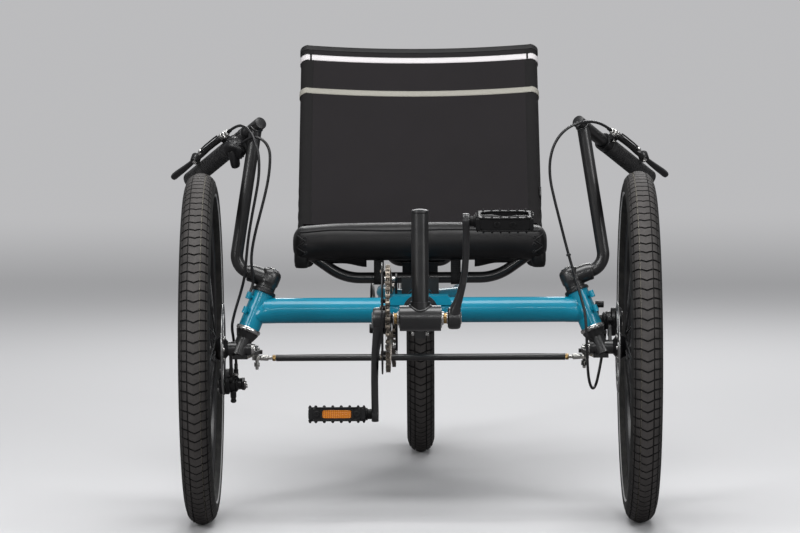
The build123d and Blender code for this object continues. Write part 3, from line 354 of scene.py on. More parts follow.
class Finish:
    """One material: its Principled shader, and the method that makes every other node."""

    def __init__(self, name, slot, colour, roughness, **fixed):
        self.slot = slot
        self.material = bpy.data.materials.new(name)
        self.material.use_nodes = True
        self.tree = self.material.node_tree
        self.shader = self.tree.nodes["Principled BSDF"]
        self.feed(Base_Color=colour, Roughness=roughness, **fixed)

    def node(self, kind, settings, sockets, output=0):
        """A node of this type: its settings first, then its sockets' values or links."""
        made = self.tree.nodes.new(kind)
        for key, value in settings.items():
            setattr(made, key, value)
        for key, value in sockets.items():
            self.join(made.inputs[key], value)
        return Wire(self, made.outputs[output])

    def join(self, socket, value):
        """Links a wire to the socket, or sets the socket to a number or a colour."""
        if isinstance(value, Wire):
            self.tree.links.new(value.socket, socket)
        elif isinstance(value, tuple) and len(value) == 3 and socket.type == "RGBA":
            socket.default_value = (*value, 1.0)
        else:
            socket.default_value = value

    def feed(self, **sockets):
        """Sets or links the shader's own sockets; an underscore stands for a space."""
        for key, value in sockets.items():
            self.join(self.shader.inputs[key.replace("_", " ")], value)

    def where(self, output="Object"):
        """The piece's own coordinates."""
        return self.node("ShaderNodeTexCoord", {}, {}, output)

    def axis(self, number, output="Object"):
        """One of the piece's coordinates: 0, 1 or 2."""
        return self.node("ShaderNodeSeparateXYZ", {}, {0: self.where(output)}, number)

    def noise(self, scale, detail=3.0):
        """Cloudy noise from 0 to 1, so many clouds to a metre."""
        sockets = {"Vector": self.where(), "Scale": scale, "Detail": detail}
        return self.node("ShaderNodeTexNoise", {}, sockets)

    def cells(self, scale):
        """Distance to the middle of the nearest of many scattered cells."""
        sockets = {"Vector": self.where(), "Scale": scale}
        return self.node("ShaderNodeTexVoronoi", {}, sockets)

    def mix(self, share, under, over):
        """Colour under where share is 0, and over where it is 1."""
        sockets = {0: share, 6: under, 7: over}
        return self.node("ShaderNodeMix", {"data_type": "RGBA"}, sockets, 2)

    def relief(self, height, depth, strength):
        """Bump of a height from 0 to 1, depth metres deep."""
        sockets = {"Height": height, "Distance": depth, "Strength": strength}
        self.feed(Normal=self.node("ShaderNodeBump", {}, sockets, "Normal"))
        return self

    def grained(self, scale, depth, strength, detail=1.0):
        """Bump of noise: orange peel in paint, or the tooth of rubber and tape."""
        return self.relief(self.noise(scale, detail), depth, strength)

    def uneven(self, scale, base, swing, detail=3.0):
        """Roughness = base + swing * noise."""
        self.feed(Roughness=self.noise(scale, detail) * swing + base)
        return self

    def clouded(self, scale, dark, pale, detail=3.0):
        """Colour that drifts between two shades with the noise."""
        self.feed(Base_Color=self.mix(self.noise(scale, detail), dark, pale))
        return self

    def dusty(self, colour, dust, low, high, scale):
        """Dust that gathers where cloudy noise passes from low to high."""
        share = self.noise(scale, 4.0).between(low, high)
        self.feed(Base_Color=self.mix(share * 0.5, colour, dust))
        return self


print("wires ready")

# %% [markdown]
# The frame's blue is a deep gloss paint under clear lacquer, so its colour stays plain and the
# coat does the shining. Bars and boom are powder coated: satin, with a very fine orange peel.

# %% Paint and powder coat
teal = Finish("teal_paint", "frame_paint", (0.0, 0.215, 0.33), 0.4, Specular_IOR_Level=0.2,
              Coat_Weight=0.5, Coat_Roughness=0.03)
teal.clouded(14, (0.0, 0.2, 0.305), (0.0, 0.23, 0.355)).grained(420, 0.00004, 0.5)
satin_black = Finish("satin_black", "black_paint", (0.008, 0.008, 0.009), 0.34,
                     Specular_IOR_Level=0.8)
satin_black.uneven(40, 0.25, 0.14).grained(1500, 0.00003, 0.6)
satin_black.dusty((0.008, 0.008, 0.0085), (0.035, 0.034, 0.032), 0.6, 0.85, 26)
gloss_black = Finish("gloss_black", "black_paint", (0.005, 0.005, 0.0055), 0.3, Coat_Weight=1.0,
                     Coat_Roughness=0.06, Specular_IOR_Level=0.2).uneven(30, 0.25, 0.15)
print("paints ready")

# %% [markdown]
# Small parts are anodised or moulded black, and the bright ones are turned steel. Wear shows as
# noise in the roughness, and oil and tarnish as noise in the colour.

# %% Metals and plastics
anodised = Finish("anodised_black", "moulded_black", (0.014, 0.014, 0.015), 0.3, Metallic=0.35)
anodised.uneven(90, 0.22, 0.2)
steel = Finish("bright_steel", "bright_steel", (0.62, 0.62, 0.61), 0.25, Metallic=1.0)
steel.uneven(160, 0.14, 0.25).clouded(60, (0.5, 0.5, 0.49), (0.72, 0.71, 0.69))
dark_steel = Finish("chain_steel", "chain_steel", (0.2, 0.17, 0.14), 0.42, Metallic=0.9)
dark_steel.uneven(150, 0.25, 0.3, 4.0).clouded(150, (0.05, 0.04, 0.033), (0.33, 0.29, 0.24), 4.0)
disc_steel = Finish("disc_steel", "rotor_steel", (0.36, 0.36, 0.36), 0.3, Metallic=1.0)
disc_steel.uneven(300, 0.2, 0.25, 2.0)
brass = Finish("brass", "bright_steel", (0.42, 0.27, 0.11), 0.3, Metallic=1.0)
brass.uneven(120, 0.2, 0.3).clouded(70, (0.36, 0.22, 0.08), (0.5, 0.34, 0.15))
rod_steel = Finish("rod_end_steel", "bright_steel", (0.55, 0.55, 0.53), 0.3, Metallic=1.0)
rod_steel.uneven(220, 0.16, 0.35, 4.0).clouded(90, (0.4, 0.39, 0.37), (0.68, 0.67, 0.64))
rim_black = Finish("rim_black", "wheel_black", (0.012, 0.012, 0.013), 0.3, Metallic=0.3)
rim_black.uneven(50, 0.22, 0.2)
rim_black.dusty((0.011, 0.011, 0.012), (0.08, 0.075, 0.07), 0.55, 0.8, 18)
spoke_black = Finish("spoke_black", "wheel_black", (0.03, 0.03, 0.031), 0.32, Metallic=0.5)
spoke_black.uneven(120, 0.22, 0.2)
arm_black = Finish("arm_black", "black_paint", (0.01, 0.01, 0.0105), 0.34, Coat_Weight=0.25,
                   Coat_Roughness=0.3).uneven(60, 0.28, 0.16)
arm_black.dusty((0.012, 0.012, 0.013), (0.07, 0.068, 0.064), 0.6, 0.85, 45)
plastic = Finish("moulded_black", "moulded_black", (0.009, 0.009, 0.01), 0.42).uneven(70, 0.3, 0.2)
plastic.dusty((0.008, 0.008, 0.009), (0.045, 0.044, 0.042), 0.58, 0.88, 60)
plastic.relief(plastic.cells(2600), 0.00003, 0.5)
pedal_black = Finish("pedal_black", "moulded_black", (0.005, 0.005, 0.0055), 0.5,
                     Specular_IOR_Level=0.25).uneven(90, 0.4, 0.2)
amber = Finish("amber_lens", None, (0.5, 0.15, 0.004), 0.3, Coat_Weight=0.4, Coat_Roughness=0.05)
prism_width = 0.0034
prisms = amber.axis(0).wave(prism_width) * amber.axis(2).wave(prism_width)
# The prisms' light and dark spots are painted: painted glints on the facets and painted shade
# between them. The bump below gives the prisms' real shape.
amber.feed(Base_Color=amber.mix(prisms, (0.42, 0.105, 0.001), (0.8, 0.29, 0.002)))
amber.relief(prisms, 0.0004, 0.7)
sheath = Finish("cable_sheath", "cable_black", (0.01, 0.01, 0.011), 0.34).uneven(80, 0.28, 0.15)
sheath.relief(sheath.axis(1, "UV").wave(1 / 400), 0.00005, 0.4)
print("metals ready")

# %% [markdown]
# Rubber is never quite black: the crown scuffs to a dusty grey, while the grooves and slots are
# painted near black as painted shade.
# The tyre's UV runs once round the wheel in v and from bead to bead in u, so blocks, thin slots
# and the pale reflective line on each sidewall are all bands of u and v.

# %% Rubbers
tread_pitches = 110
rubber = Finish("tyre_rubber", "tyre_rubber", (0.03, 0.028, 0.026), 0.75, Specular_IOR_Level=0.3)
across = rubber.axis(0, "UV")
from_middle = (across - 0.5).math("ABSOLUTE")
crown = 1 - from_middle.between(0.03, 0.17)
pitch_share = (rubber.axis(1, "UV") * float(tread_pitches)).math("FRACT")
on_block = pitch_share.math("GREATER_THAN", 0.5) * pitch_share.math("LESS_THAN", 0.77)
on_tread = from_middle.math("LESS_THAN", 0.172)
# Painted shade: the cross grooves, the thin slots and the floors of the two grooves round the
# wheel are painted near black, standing in for the shade that falls in these recesses.
groove_shade = (1 - on_block) * on_tread
slot_cuts_and_shade = from_middle.stripe(0.0125, 0.13) * on_tread * (1 - crown * 0.6)
rib = from_middle.band(0.06, 0.0617, 0.0722, 0.0744)
inboard = (rubber.axis(0) * (across - 0.5)).math("LESS_THAN", 0.0)
trough_shade = rib * (1 - inboard) + from_middle.band(0.1285, 0.13, 0.1395, 0.1416)
line = from_middle.band(0.3, 0.304, 0.323, 0.327)
cloud = rubber.noise(70, 5.0).between(0.3, 0.75)
wear = crown * 0.42 + cloud * 0.2 + rubber.noise(420, 4.0) * 0.3
dusted = rubber.mix(wear, (0.011, 0.0105, 0.0105), (0.092, 0.085, 0.082))
wall = rubber.mix(on_tread, rubber.mix(cloud, (0.009, 0.009, 0.009), (0.025, 0.024, 0.022)),
                  dusted)
ridged = rubber.mix(rib * inboard * 0.6, wall, (0.24, 0.225, 0.19))
# The near-black colours below are painted shade in the slots, the groove floors and the cross
# grooves.
slot_shaded = rubber.mix(slot_cuts_and_shade * 0.5 + trough_shade * 0.8, ridged, (0.008, 0.008, 0.008))
cut = rubber.mix(groove_shade * 0.93, slot_shaded, (0.004, 0.004, 0.004))
rubber.feed(Base_Color=rubber.mix(line, cut, (0.42, 0.42, 0.42)),
            Roughness=rubber.noise(200) * 0.25 + 0.6 - line * 0.3)
rubber.relief(rubber.noise(1200, 3.0) - slot_cuts_and_shade * 0.8, 0.00025, 0.6)
grip_rubber = Finish("grip_rubber", "grip_rubber", (0.02, 0.02, 0.021), 0.68)
grip_rubber.dusty((0.017, 0.017, 0.018), (0.06, 0.058, 0.056), 0.5, 0.8, 90)
grip_rubber.grained(1800, 0.00008, 0.6, 2.0)
print("rubbers ready")

# %% [markdown]
# The seat is woven from coated yarn. A weave follows the cloth, so it is drawn in the sheet's
# UV map: two families of ribs, each hiding under the other in turn.

# %% Cloths
def woven(name, dark, pale, pitch, size, depth=0.00025, roughness=0.85):
    """Plain weave: warp shows where sin(x) * sin(y) is positive, and weft where it isn't."""
    cloth = Finish(name, "seat_mesh", dark, roughness, Specular_IOR_Level=0.2)
    x, y = cloth.axis(0, "UV") * size[0], cloth.axis(1, "UV") * size[1]
    swap = (x.wave(2 * pitch) - 0.5) * (y.wave(2 * pitch) - 0.5)
    over = swap.between(-0.02, 0.02)
    height = x.wave(pitch) * over + y.wave(pitch) * (1 - over)
    # Painted shade: the weave's hollows are painted dark and its raised yarns pale, with a little
    # random tone from the noise.
    shade = height * 0.75 + cloth.noise(9, 4.0) * 0.25
    cloth.feed(Base_Color=cloth.mix(shade, dark, pale))
    return cloth.relief(height, depth, 0.8)


seat_size = (0.46, 0.92)
mesh_cloth = woven("seat_mesh_cloth", (0.004, 0.0037, 0.004), (0.021, 0.018, 0.02), 0.0016,
                   seat_size)
webbing = woven("webbing", (0.004, 0.004, 0.0045), (0.018, 0.018, 0.019), 0.0014, (0.3, 0.3))
pale_band = woven("pale_band", (0.5, 0.48, 0.49), (0.74, 0.71, 0.72), 0.0011, seat_size,
                  0.00008, 0.55)
grey_band = woven("grey_band", (0.22, 0.21, 0.18), (0.38, 0.37, 0.33), 0.0011, seat_size,
                  0.00008, 0.55)
sleeve_cloth = woven("sleeve_cloth", (0.0035, 0.0033, 0.0035), (0.015, 0.014, 0.0145), 0.0016,
                     (0.107, 0.86))
coated = Finish("coated_cloth", "seat_mesh", (0.008, 0.008, 0.008), 0.5, Specular_IOR_Level=0.3)
coated.uneven(30, 0.36, 0.2).dusty((0.006, 0.0056, 0.006), (0.022, 0.02, 0.02), 0.5, 0.85, 34)
coated.relief(coated.noise(1300) * 0.5 + coated.noise(60) * 3.0, 0.0002, 0.5)
binding = Finish("binding_tape", "seat_mesh", (0.009, 0.009, 0.0095), 0.6, Specular_IOR_Level=0.3)
binding.clouded(50, (0.006, 0.006, 0.0065), (0.018, 0.017, 0.018))
binding.grained(2200, 0.00008, 0.6, 2.0)
print("cloths ready")

# %% [markdown]
# ## Floor, light and camera
# A studio's floor runs on into its backdrop with no edge. Here the floor fades into the plain
# grey behind it between 2.5 and 9 metres out. To bounced light it is darker than to the camera,
# so it doesn't wash out the paint above it.

# %% Floor
pale_grey, floor_grey, bounce_grey = (0.5, 0.5, 0.51), (0.58, 0.58, 0.59), (0.16, 0.155, 0.16)
floor_reach = 90
floor_finish = Finish("studio_floor", None, floor_grey, 0.85)
seen = floor_finish.node("ShaderNodeLightPath", {}, {}, "Is Camera Ray")
spot = floor_finish.node("ShaderNodeVectorMath", {"operation": "LENGTH"},
                         {0: floor_finish.where()}, "Value")
glow = floor_finish.node("ShaderNodeEmission", {}, {"Color": (*pale_grey, 1.0)})
plain = Wire(floor_finish, floor_finish.shader.outputs[0])
floor_finish.feed(Base_Color=floor_finish.mix(seen, bounce_grey, floor_grey))
blend = floor_finish.node("ShaderNodeMixShader", {},
                          {0: spot.between(2.5, 9.0) * seen, 1: plain, 2: glow})
floor_finish.join(floor_finish.tree.nodes["Material Output"].inputs["Surface"], blend)
floor = bpy.data.meshes.new("studio_floor")
floor.from_pydata([(x * floor_reach, y * floor_reach, 0)
                   for x, y in ((-1, -1), (1, -1), (1, 1), (-1, 1))], [], [(0, 1, 2, 3)])
floor.materials.append(floor_finish.material)
add("studio_floor", floor)
print("floor", 2 * floor_reach, "m wide")

# %% [markdown]
# The lamps are soft boxes, which give broad highlights on paint and rubber. They are hidden from
# the camera. An even sky fills the shadows, and the camera sees a plain grey in its place.

# %% Lamps and sky
def soft_box(name, place, aim, width, height, watts):
    """A rectangular lamp at place that faces aim."""
    lamp = bpy.data.lights.new(name, "AREA")
    lamp.shape, lamp.size, lamp.size_y, lamp.energy = "RECTANGLE", width, height, watts
    holder = add(name, lamp)
    holder.location = place
    ray = unit(np.subtract(place, aim))
    side = unit(np.cross((0, 0, 1.0), ray) + (1e-6, 0, 0))
    turn = np.array([side, np.cross(ray, side), ray]).T
    holder.rotation_euler = Matrix(turn.tolist()).to_euler()
    holder.visible_camera = False


for name, *lamp in (("overhead", (0.0, -1.0, 3.6), (0, -0.2, 0.4), 3.2, 1.6, 110),
                    ("key_left", (-3.0, -3.6, 2.2), (0, 0, 0.4), 1.0, 2.2, 72),
                    ("fill_right", (3.2, -3.2, 1.9), (0, 0, 0.4), 0.9, 2.2, 54),
                    ("strip_front", (0.0, -5.2, 2.3), (0, -0.4, 0.4), 7.0, 0.14, 55),
                    ("rim_behind", (0.4, 3.6, 2.6), (0, 0.2, 0.5), 2.6, 1.2, 70)):
    soft_box(name, *lamp)
world = bpy.data.worlds.new("studio")
bpy.context.scene.world = world
world.use_nodes = True
sky = world.node_tree
ambient = sky.nodes["Background"]
backdrop, choice, ray = [sky.nodes.new("ShaderNode" + kind)
                         for kind in ("Background", "MixShader", "LightPath")]
ambient.inputs["Color"].default_value = (0.9, 0.91, 0.93, 1.0)
ambient.inputs["Strength"].default_value = 0.3
backdrop.inputs["Color"].default_value = (*pale_grey, 1.0)
for source, target in ((ray.outputs["Is Camera Ray"], choice.inputs[0]),
                       (ambient.outputs[0], choice.inputs[1]),
                       (backdrop.outputs[0], choice.inputs[2]),
                       (choice.outputs[0], sky.nodes["World Output"].inputs["Surface"])):
    sky.links.new(source, target)
bpy.context.scene.view_settings.view_transform = "Standard"
print("five lamps and a sky")

# %% [markdown]
# A long lens from eight metres away keeps near and far wheels in proportion. It stands a little
# higher than the seat and looks four degrees down.

# %% Camera
camera = bpy.data.cameras.new("camera")
camera.lens, camera.sensor_width = 200.0, 36.0
viewer = add("camera", camera)
viewer.location = (0.0, -8.198, 1.008)
viewer.rotation_euler = (radians(90 - 4.09), radians(0.3), radians(0.238))
bpy.context.scene.camera = viewer
print("camera", list(viewer.location), "lens", camera.lens)

# %% [markdown]
# ## Tyres
# A tyre is a turned skin whose crown is cut by grooves. It could be carved with booleans, but
# the tread repeats 110 times, so the grid itself follows it: every pitch has four rows, two on
# the block and two on the groove's floor, and the rows bend into the tread's V by moving each
# point of the middle rib along the wheel by 0.42 times its distance from the middle.

# %% Tread
tyre_half, section_radius = 27.5, 281.0
groove_depth, bend_slope, bend_reach = 2.2, 0.42, 11.5
groove_share = np.array([0.0, 0.11, 0.15, 0.96])
half_section = [
    # degrees round the section from the crown, depth below it, 1 where cross grooves cut
    (0, 0, 1), (8, 0, 1), (15, 0, 1), (21.4, 0, 1), (22.2, 2.2, 0), (26.0, 2.2, 0), (26.8, 0, 1),
    (36, 0, 1), (46.0, 0, 1), (46.8, 2.0, 0), (50.2, 2.0, 0), (51.0, 0.1, 1), (60, 0.2, 1),
    (64, 1.2, 0), (68, 1.3, 0), (76, 0.9, 0), (90, 0.3, 0), (103, 0.4, 0), (107.5, 0.5, 0),
    (109, 0.1, 0), (117, 0.1, 0), (118.5, 0.5, 0), (128, 1.3, 0), (140, 2.2, 0), (147, 2.6, 0),
    (150, 6.5, 0), (120, 8.0, 0), (60, 6.0, 0),
]


def tyre(name, middle, body):
    """Radius = 281 + (27.5 - depth) cos t and x = (27.5 - depth) sin t, turned round the axle."""
    rows = np.array([(-t, d, c) for t, d, c in half_section[:0:-1]] + half_section)
    angle, depth, cut = np.radians(rows[:, 0]), rows[:, 1], rows[:, 2]
    pitch = np.repeat(np.arange(tread_pitches), 4)
    share = np.tile(groove_share, tread_pitches)
    floor = np.tile([1.0, 1.0, 0.0, 0.0], tread_pitches)
    reach = tyre_half - depth[None] - groove_depth * floor[:, None] * cut[None]
    x = reach * np.sin(angle)
    radius = section_radius + reach * np.cos(angle)
    bend = bend_slope * np.minimum(np.abs(x), bend_reach) / (section_radius + tyre_half)
    turn = 2 * pi * (pitch + share)[:, None] / tread_pitches + bend
    points = middle + np.stack([x, -radius * np.cos(turn), radius * np.sin(turn)], -1)
    shape = Shape()
    shape.grid(points, along=True, u=(rows[:, 0] + 180) / 360)
    shape.become(name, body, rubber, [name.replace("tread", "tyre")], crease=28)


for label, (middle, body, _) in wheels.items():
    tyre(f"tread_{label}", middle, body)

# %% [markdown]
# ## Wheels
# Each wheel is a hollow rim, a turned hub and 36 crossed spokes. The rim and hub are turned. A
# spoke is a wire from the flange to the rim, in a sleeve that tapers from its nipple inwards.

# %% Rims, hubs and spokes
rim_inside = 239
rim_profile = [
    # radius, distance from the rim's middle
    (259.4, 15.0), (259.4, 13.6), (256, 13.0), (253.4, 12.8), (250.5, 7), (247.5, 0), (250.5, -7),
    (253.4, -12.8), (256, -13.0), (259.4, -13.6), (259.4, -15.0), (253, -15.0), (246, -14.6),
    (241.5, -11.5), (239.6, -6), (239.6, 6), (241.5, 11.5), (246, 14.6), (253, 15.0),
]
hubs = {
    # name: turned steps (radius, distance along the axle), flange places, flange radius,
    # places of the axle's locknuts
    "front": ([(12.2, -46.5), (24, -36.5), (24, -33), (22, -31), (19.5, -28.2), (17, -24.5),
               (13, -16), (12, -6), (12, 6), (13, 16), (17, 24.5), (19, 27.5), (16, 30),
               (13.5, 31), (13.5, 33.8)], (-22.0, 22.0), 24.0, (-47, 34.2)),
    "rear": ([(12.6, -67), (12.6, -64.3), (17.2, -64), (17.2, -23), (24, -20), (19, -12),
              (17, 0), (17, 14), (19, 27), (18, 37), (14, 40), (13.6, 58), (12.6, 67)],
             (-16.0, 32.0), 26.0, (-68, 67.6)),
}


def spokes(shape, middle, flanges, flange_radius, side):
    """Spoke k leaves the flange at its rim angle plus or minus 52 degrees, and crosses others.
    Ring (radius r, distance d) stands at start + d * along."""
    per_side, nipple_radius = 18, 240.5
    index = np.arange(per_side)
    odd = np.where(index % 2, 1, -1)
    for number, flange in enumerate(flanges):
        outer = 2 * pi * (index + number / 2) / per_side
        inner = outer + radians(52) * odd
        start = np.stack([flange + 1.6 * odd, flange_radius * np.cos(inner),
                          flange_radius * np.sin(inner)], -1)
        end = np.stack([np.full(per_side, np.sign(flange) * 2.5), nipple_radius * np.cos(outer),
                        nipple_radius * np.sin(outer)], -1)
        along = unit(end - start)
        lean = unit(np.cross(along, (1.0, 0, 0)))
        ring = circle(6) @ np.stack([lean, np.cross(along, lean)], 1)
        reach = np.linalg.norm(end - start, axis=-1)
        wire = [(1.0, 0 * reach), (1.05, 8 + 0 * reach), (1.0, 60 + 0 * reach), (1.0, reach - 14)]
        sleeve = [(2.0, reach - 13.9), (2.0, reach - 1), (1.6, 0.4 + 0 * reach)]
        for part in (wire, sleeve):
            rings = [(start + along * d[:, None])[:, None] + r * ring for r, d in part]
            for spoke in np.stack(rings, 1) * [side, 1, 1] + middle:
                shape.grid(spoke, ends=True)
    return shape


def wheel(name, middle, body, side):
    """Rim, hub and flanges, all round local z, which points outboard."""
    rear = name == "wheel_rear"
    steps, flanges, flange_radius, locknuts = hubs["rear" if rear else "front"]
    outboard = 1 if rear else -side
    place = Place(middle, (outboard, 0, 0), (0, 1, 0))
    shape = Shape()
    lathe(shape, rim_profile, place, 120, closed=True)
    lathe(shape, steps, place, 36)
    holes = 1 + 0.03 * np.cos(np.arange(72) * pi)
    edge = [(20, -2), (flange_radius + 3.2, -1.4), (flange_radius + 4, -0.6)]
    edge += [(radius, -height) for radius, height in edge[::-1]]
    for flange in flanges:
        lathe(shape, [(radius, flange + h) for radius, h in edge], place, 72, wobble=holes)
    shape.become(name, body, rim_black)
    wires = spokes(Shape(), middle, flanges, flange_radius, outboard)
    wires.become(name + "_spokes", body, spoke_black)
    bright = Shape()
    valve = Place(middle + [0, 0, rim_inside], (0, 0, -1))
    lathe(bright, [(3, -6), (3, 14), (2.4, 15), (2.4, 30), (1.5, 31), (1.5, 36)], valve, 10)
    for end in locknuts:
        lathe(bright, [(9.5, -1.2), (9.5, 0.2), (8.6, 0.6), (8.6, 1.2)],
              Place(place([0, 0, end]), (outboard, 0, 0)), 24)
    bright.become(name + "_valve", body, steel)


for label, (middle, body, side) in wheels.items():
    wheel(f"wheel_{label}", middle, body, side)

# %% [markdown]
# ## Brake discs
# A disc is laser cut from 2 mm sheet: a drilled braking band carried on six swept arms. A polar
# grid with some of its cells left out gives the holes, and Solidify gives the thickness.

# %% Discs
def disc(name, middle_x, body):
    """Band cells stay except the drilled ones; below the band only the arms' cells stay. Rings
    further in than 66 mm are turned by 0.55 degrees a millimetre, which sweeps the arms."""
    radii = np.array([17.0, 21, 25, 32, 40, 49, 58, 66, 67.6, 69.4, 71.6, 73.4, 75.6, 77.4, 79.2,
                      80])
    count, band_row, arm_sweep, screw_radius = 144, 7, 0.55, 20.5
    twist = np.radians(np.where(radii < 66, (66 - radii) * arm_sweep, 0))
    turn = 2 * pi * np.arange(count)[None] / count + twist[:, None]
    points = np.stack([np.full(turn.shape, middle_x), front_y + radii[:, None] * np.cos(turn),
                       axle_z + radii[:, None] * np.sin(turn)], -1)
    row, column = np.meshgrid(np.arange(len(radii) - 1), np.arange(count), indexing="ij")
    arm = column % 24 < 5
    drilled = (row % 2 == 0) & (row > 7) & (row < 14) & ((column + (row - 8)) % 6 < 2)
    keep = (row < 2) | (arm & (row < band_row)) | ((row >= band_row) & ~drilled)
    shape = Shape().grid(points, keep=keep)
    thicken(shape.become(name, body, disc_steel), 0.002)
    screws = Shape()
    outboard = np.sign(middle_x)
    for turn in circle(6):
        seat = [middle_x - outboard, front_y + screw_radius * turn[0],
                axle_z + screw_radius * turn[1]]
        bolt(screws, Place(seat, (-outboard, 0, 0)), 3.4, 2.2)
    screws.become(name + "_screws", body, steel)


disc("rotor_left", 346.5, "front_wheel_left")
disc("rotor_right", -346.5, "front_wheel_right")

# %% [markdown]
# ## Steering heads
# Each head is a welded tube with a cup pressed in at either end. The steering arm hangs below
# it and meets the tie rod at a ball joint. Weld beads are the small ripples where one tube's
# skin meets the other's; they follow the exact curve where two cylinders cross.

# %% Weld beads
def seam(middle, along, radius, other, other_line, other_radius, side, count=180):
    """Points of a tube's skin where it meets another tube, from the quadratic for the distance
    t along the first tube at which a skin point is other_radius from the other's axis."""
    place = Place(middle, along)
    skin = place(np.column_stack([circle(count) * radius, np.zeros(count)])) - other
    line, cross = place.axes[2], unit(other_line)
    flat_line = line - cross * (line @ cross)
    flat_skin = skin - np.outer(skin @ cross, cross)
    a = flat_line @ flat_line
    b = flat_skin @ flat_line
    c = (flat_skin ** 2).sum(1) - other_radius ** 2
    t = (-b + side * np.sqrt(np.maximum(b * b - a * c, 0))) / a
    return skin + other + np.outer(t, line)


def bead(shape, path, radius=2.3, ripples=60):
    """A closed bead whose radius swells and shrinks as the welder's hand moved on."""
    turn = 2 * pi * np.arange(len(path)) * ripples / len(path)
    return tube(shape, path, radius * (1 + 0.12 * np.sin(turn)), 8, closed=True)


welds = Shape()
x_line, y_line = np.array([1.0, 0, 0]), np.array([0, 1.0, 0])
cross_middle = np.array([0.0, -404.328, 374.0])
for way in (-1, 1):
    bead(welds, seam(cross_middle + [0, 0, 4], y_line, 25.4, cross_middle, x_line, 22.2, way))
welds.become("frame_welds", "frame", teal, crease=60)

# %% [markdown]
# The cross tube is a little wider than the head tube, so its end is squeezed narrow and tall
# before it is mitred on. Rings carry that change: round at first, then flatter, while their
# plane leans over to the steering line.

# %% Squeezed ends of the cross tube
def smooth(value, low, high):
    """0 below low, 1 above high, and 3 s^2 - 2 s^3 between them."""
    share = np.clip((value - low) / (high - low), 0, 1)
    return share * share * (3 - 2 * share)


def squeezed_end(shape, flank):
    """Ring at x: middle + half_y * cos a along y, and half_z * sin a along the leaning line."""
    x, half_y, half_z = np.array([
        (254.0, 22.3, 22.3), (262, 22.45, 22.5), (269, 22.5, 23.0), (275.6, 22.45, 23.8),
        (279, 21.9, 24.3), (282.5, 21.0, 24.8), (286, 19.8, 25.2), (289, 18.6, 25.5),
        (291, 17.6, 25.6)]).T
    lean = smooth(x, 254, 284)[:, None]
    up = unit(np.array([0, 0, 1.0]) * (1 - lean) + pivot_line * lean)
    ring = circle(64)
    middle = np.column_stack([x, *np.full((2, len(x)), head_middle[1:, None])])
    points = (middle[:, None] + ring[None, :, :1] * half_y[:, None, None] * [0, 1.0, 0]
              + ring[None, :, 1:] * half_z[:, None, None] * up[:, None])
    return shape.grid(points * flank, ends=True)


ends = Shape()
for flank in sides.values():
    squeezed_end(ends, flank)
ends.become("cross_tube_ends", "frame", teal, crease=60)

# %% [markdown]
# The joints of the black parts are welded as well: the handlebar's T under each grip tube, and
# the post on the bottom bracket shell.

# %% Bar and post welds
bar_foot = np.array([326.869, -393.25, 444.394])
upright_end = np.array([287.228, -386.933, 696.807])
post_line = unit([0, 6.0, 175.0])
for name, flank in sides.items():
    welds = Shape()
    bead(welds, seam(upright_end * flank, (upright_end - bar_foot) * flank, 11.1,
                     grip_top * flank, grip_line * flank, 11.1, -1, 90), 1.8, 34)
    welds.become(f"bar_weld_{name}", f"knuckle_{name}", satin_black, crease=60)
welds = Shape()
bead(welds, seam(bracket, post_line, 17.0, bracket, x_line, 21.0, 1, 120), 2.0, 44)
bead(welds, seam(bracket, y_line, 20.6, bracket, x_line, 21.0, 1, 120), 2.0, 44)
welds.become("boom_welds", "frame", satin_black, crease=60)

# %% [markdown]
# ## Headset
# A headset is two pressed cups with bearings. Here the lower race is bright, the upper one is
# black, and rubber lips seal both.

# %% Cups and seals
def head_place(name, distance=0):
    """Axes on a steering line, so far up it from the middle of the head tube."""
    flank = sides[name]
    return Place((head_middle + pivot_line * distance) * flank, pivot_line * flank, (1, 0, 0))


lower_cup = [(19.2, -33), (21, -33.4), (22, -35), (22, -38), (20.6, -39.6), (19.6, -41), (15, -41)]
upper_cup = [(19.2, 33), (21.4, 33.2), (22, 34), (22, 37.5), (20.5, 39.2), (16, 40)]
for name in sides:
    for cup, profile, finish in (("lower", lower_cup, steel), ("upper", upper_cup, anodised)):
        cups = lathe(Shape(), profile, head_place(name), 48)
        cups.become(f"{cup}_cup_{name}", "frame", finish)
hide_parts("headset_cups")

# %% [markdown]
# The knuckle carries the axle, the arm and the brake. On top of the steerer a cap with a centre
# bolt closes the stem, and a pinch bolt clamps it from behind.

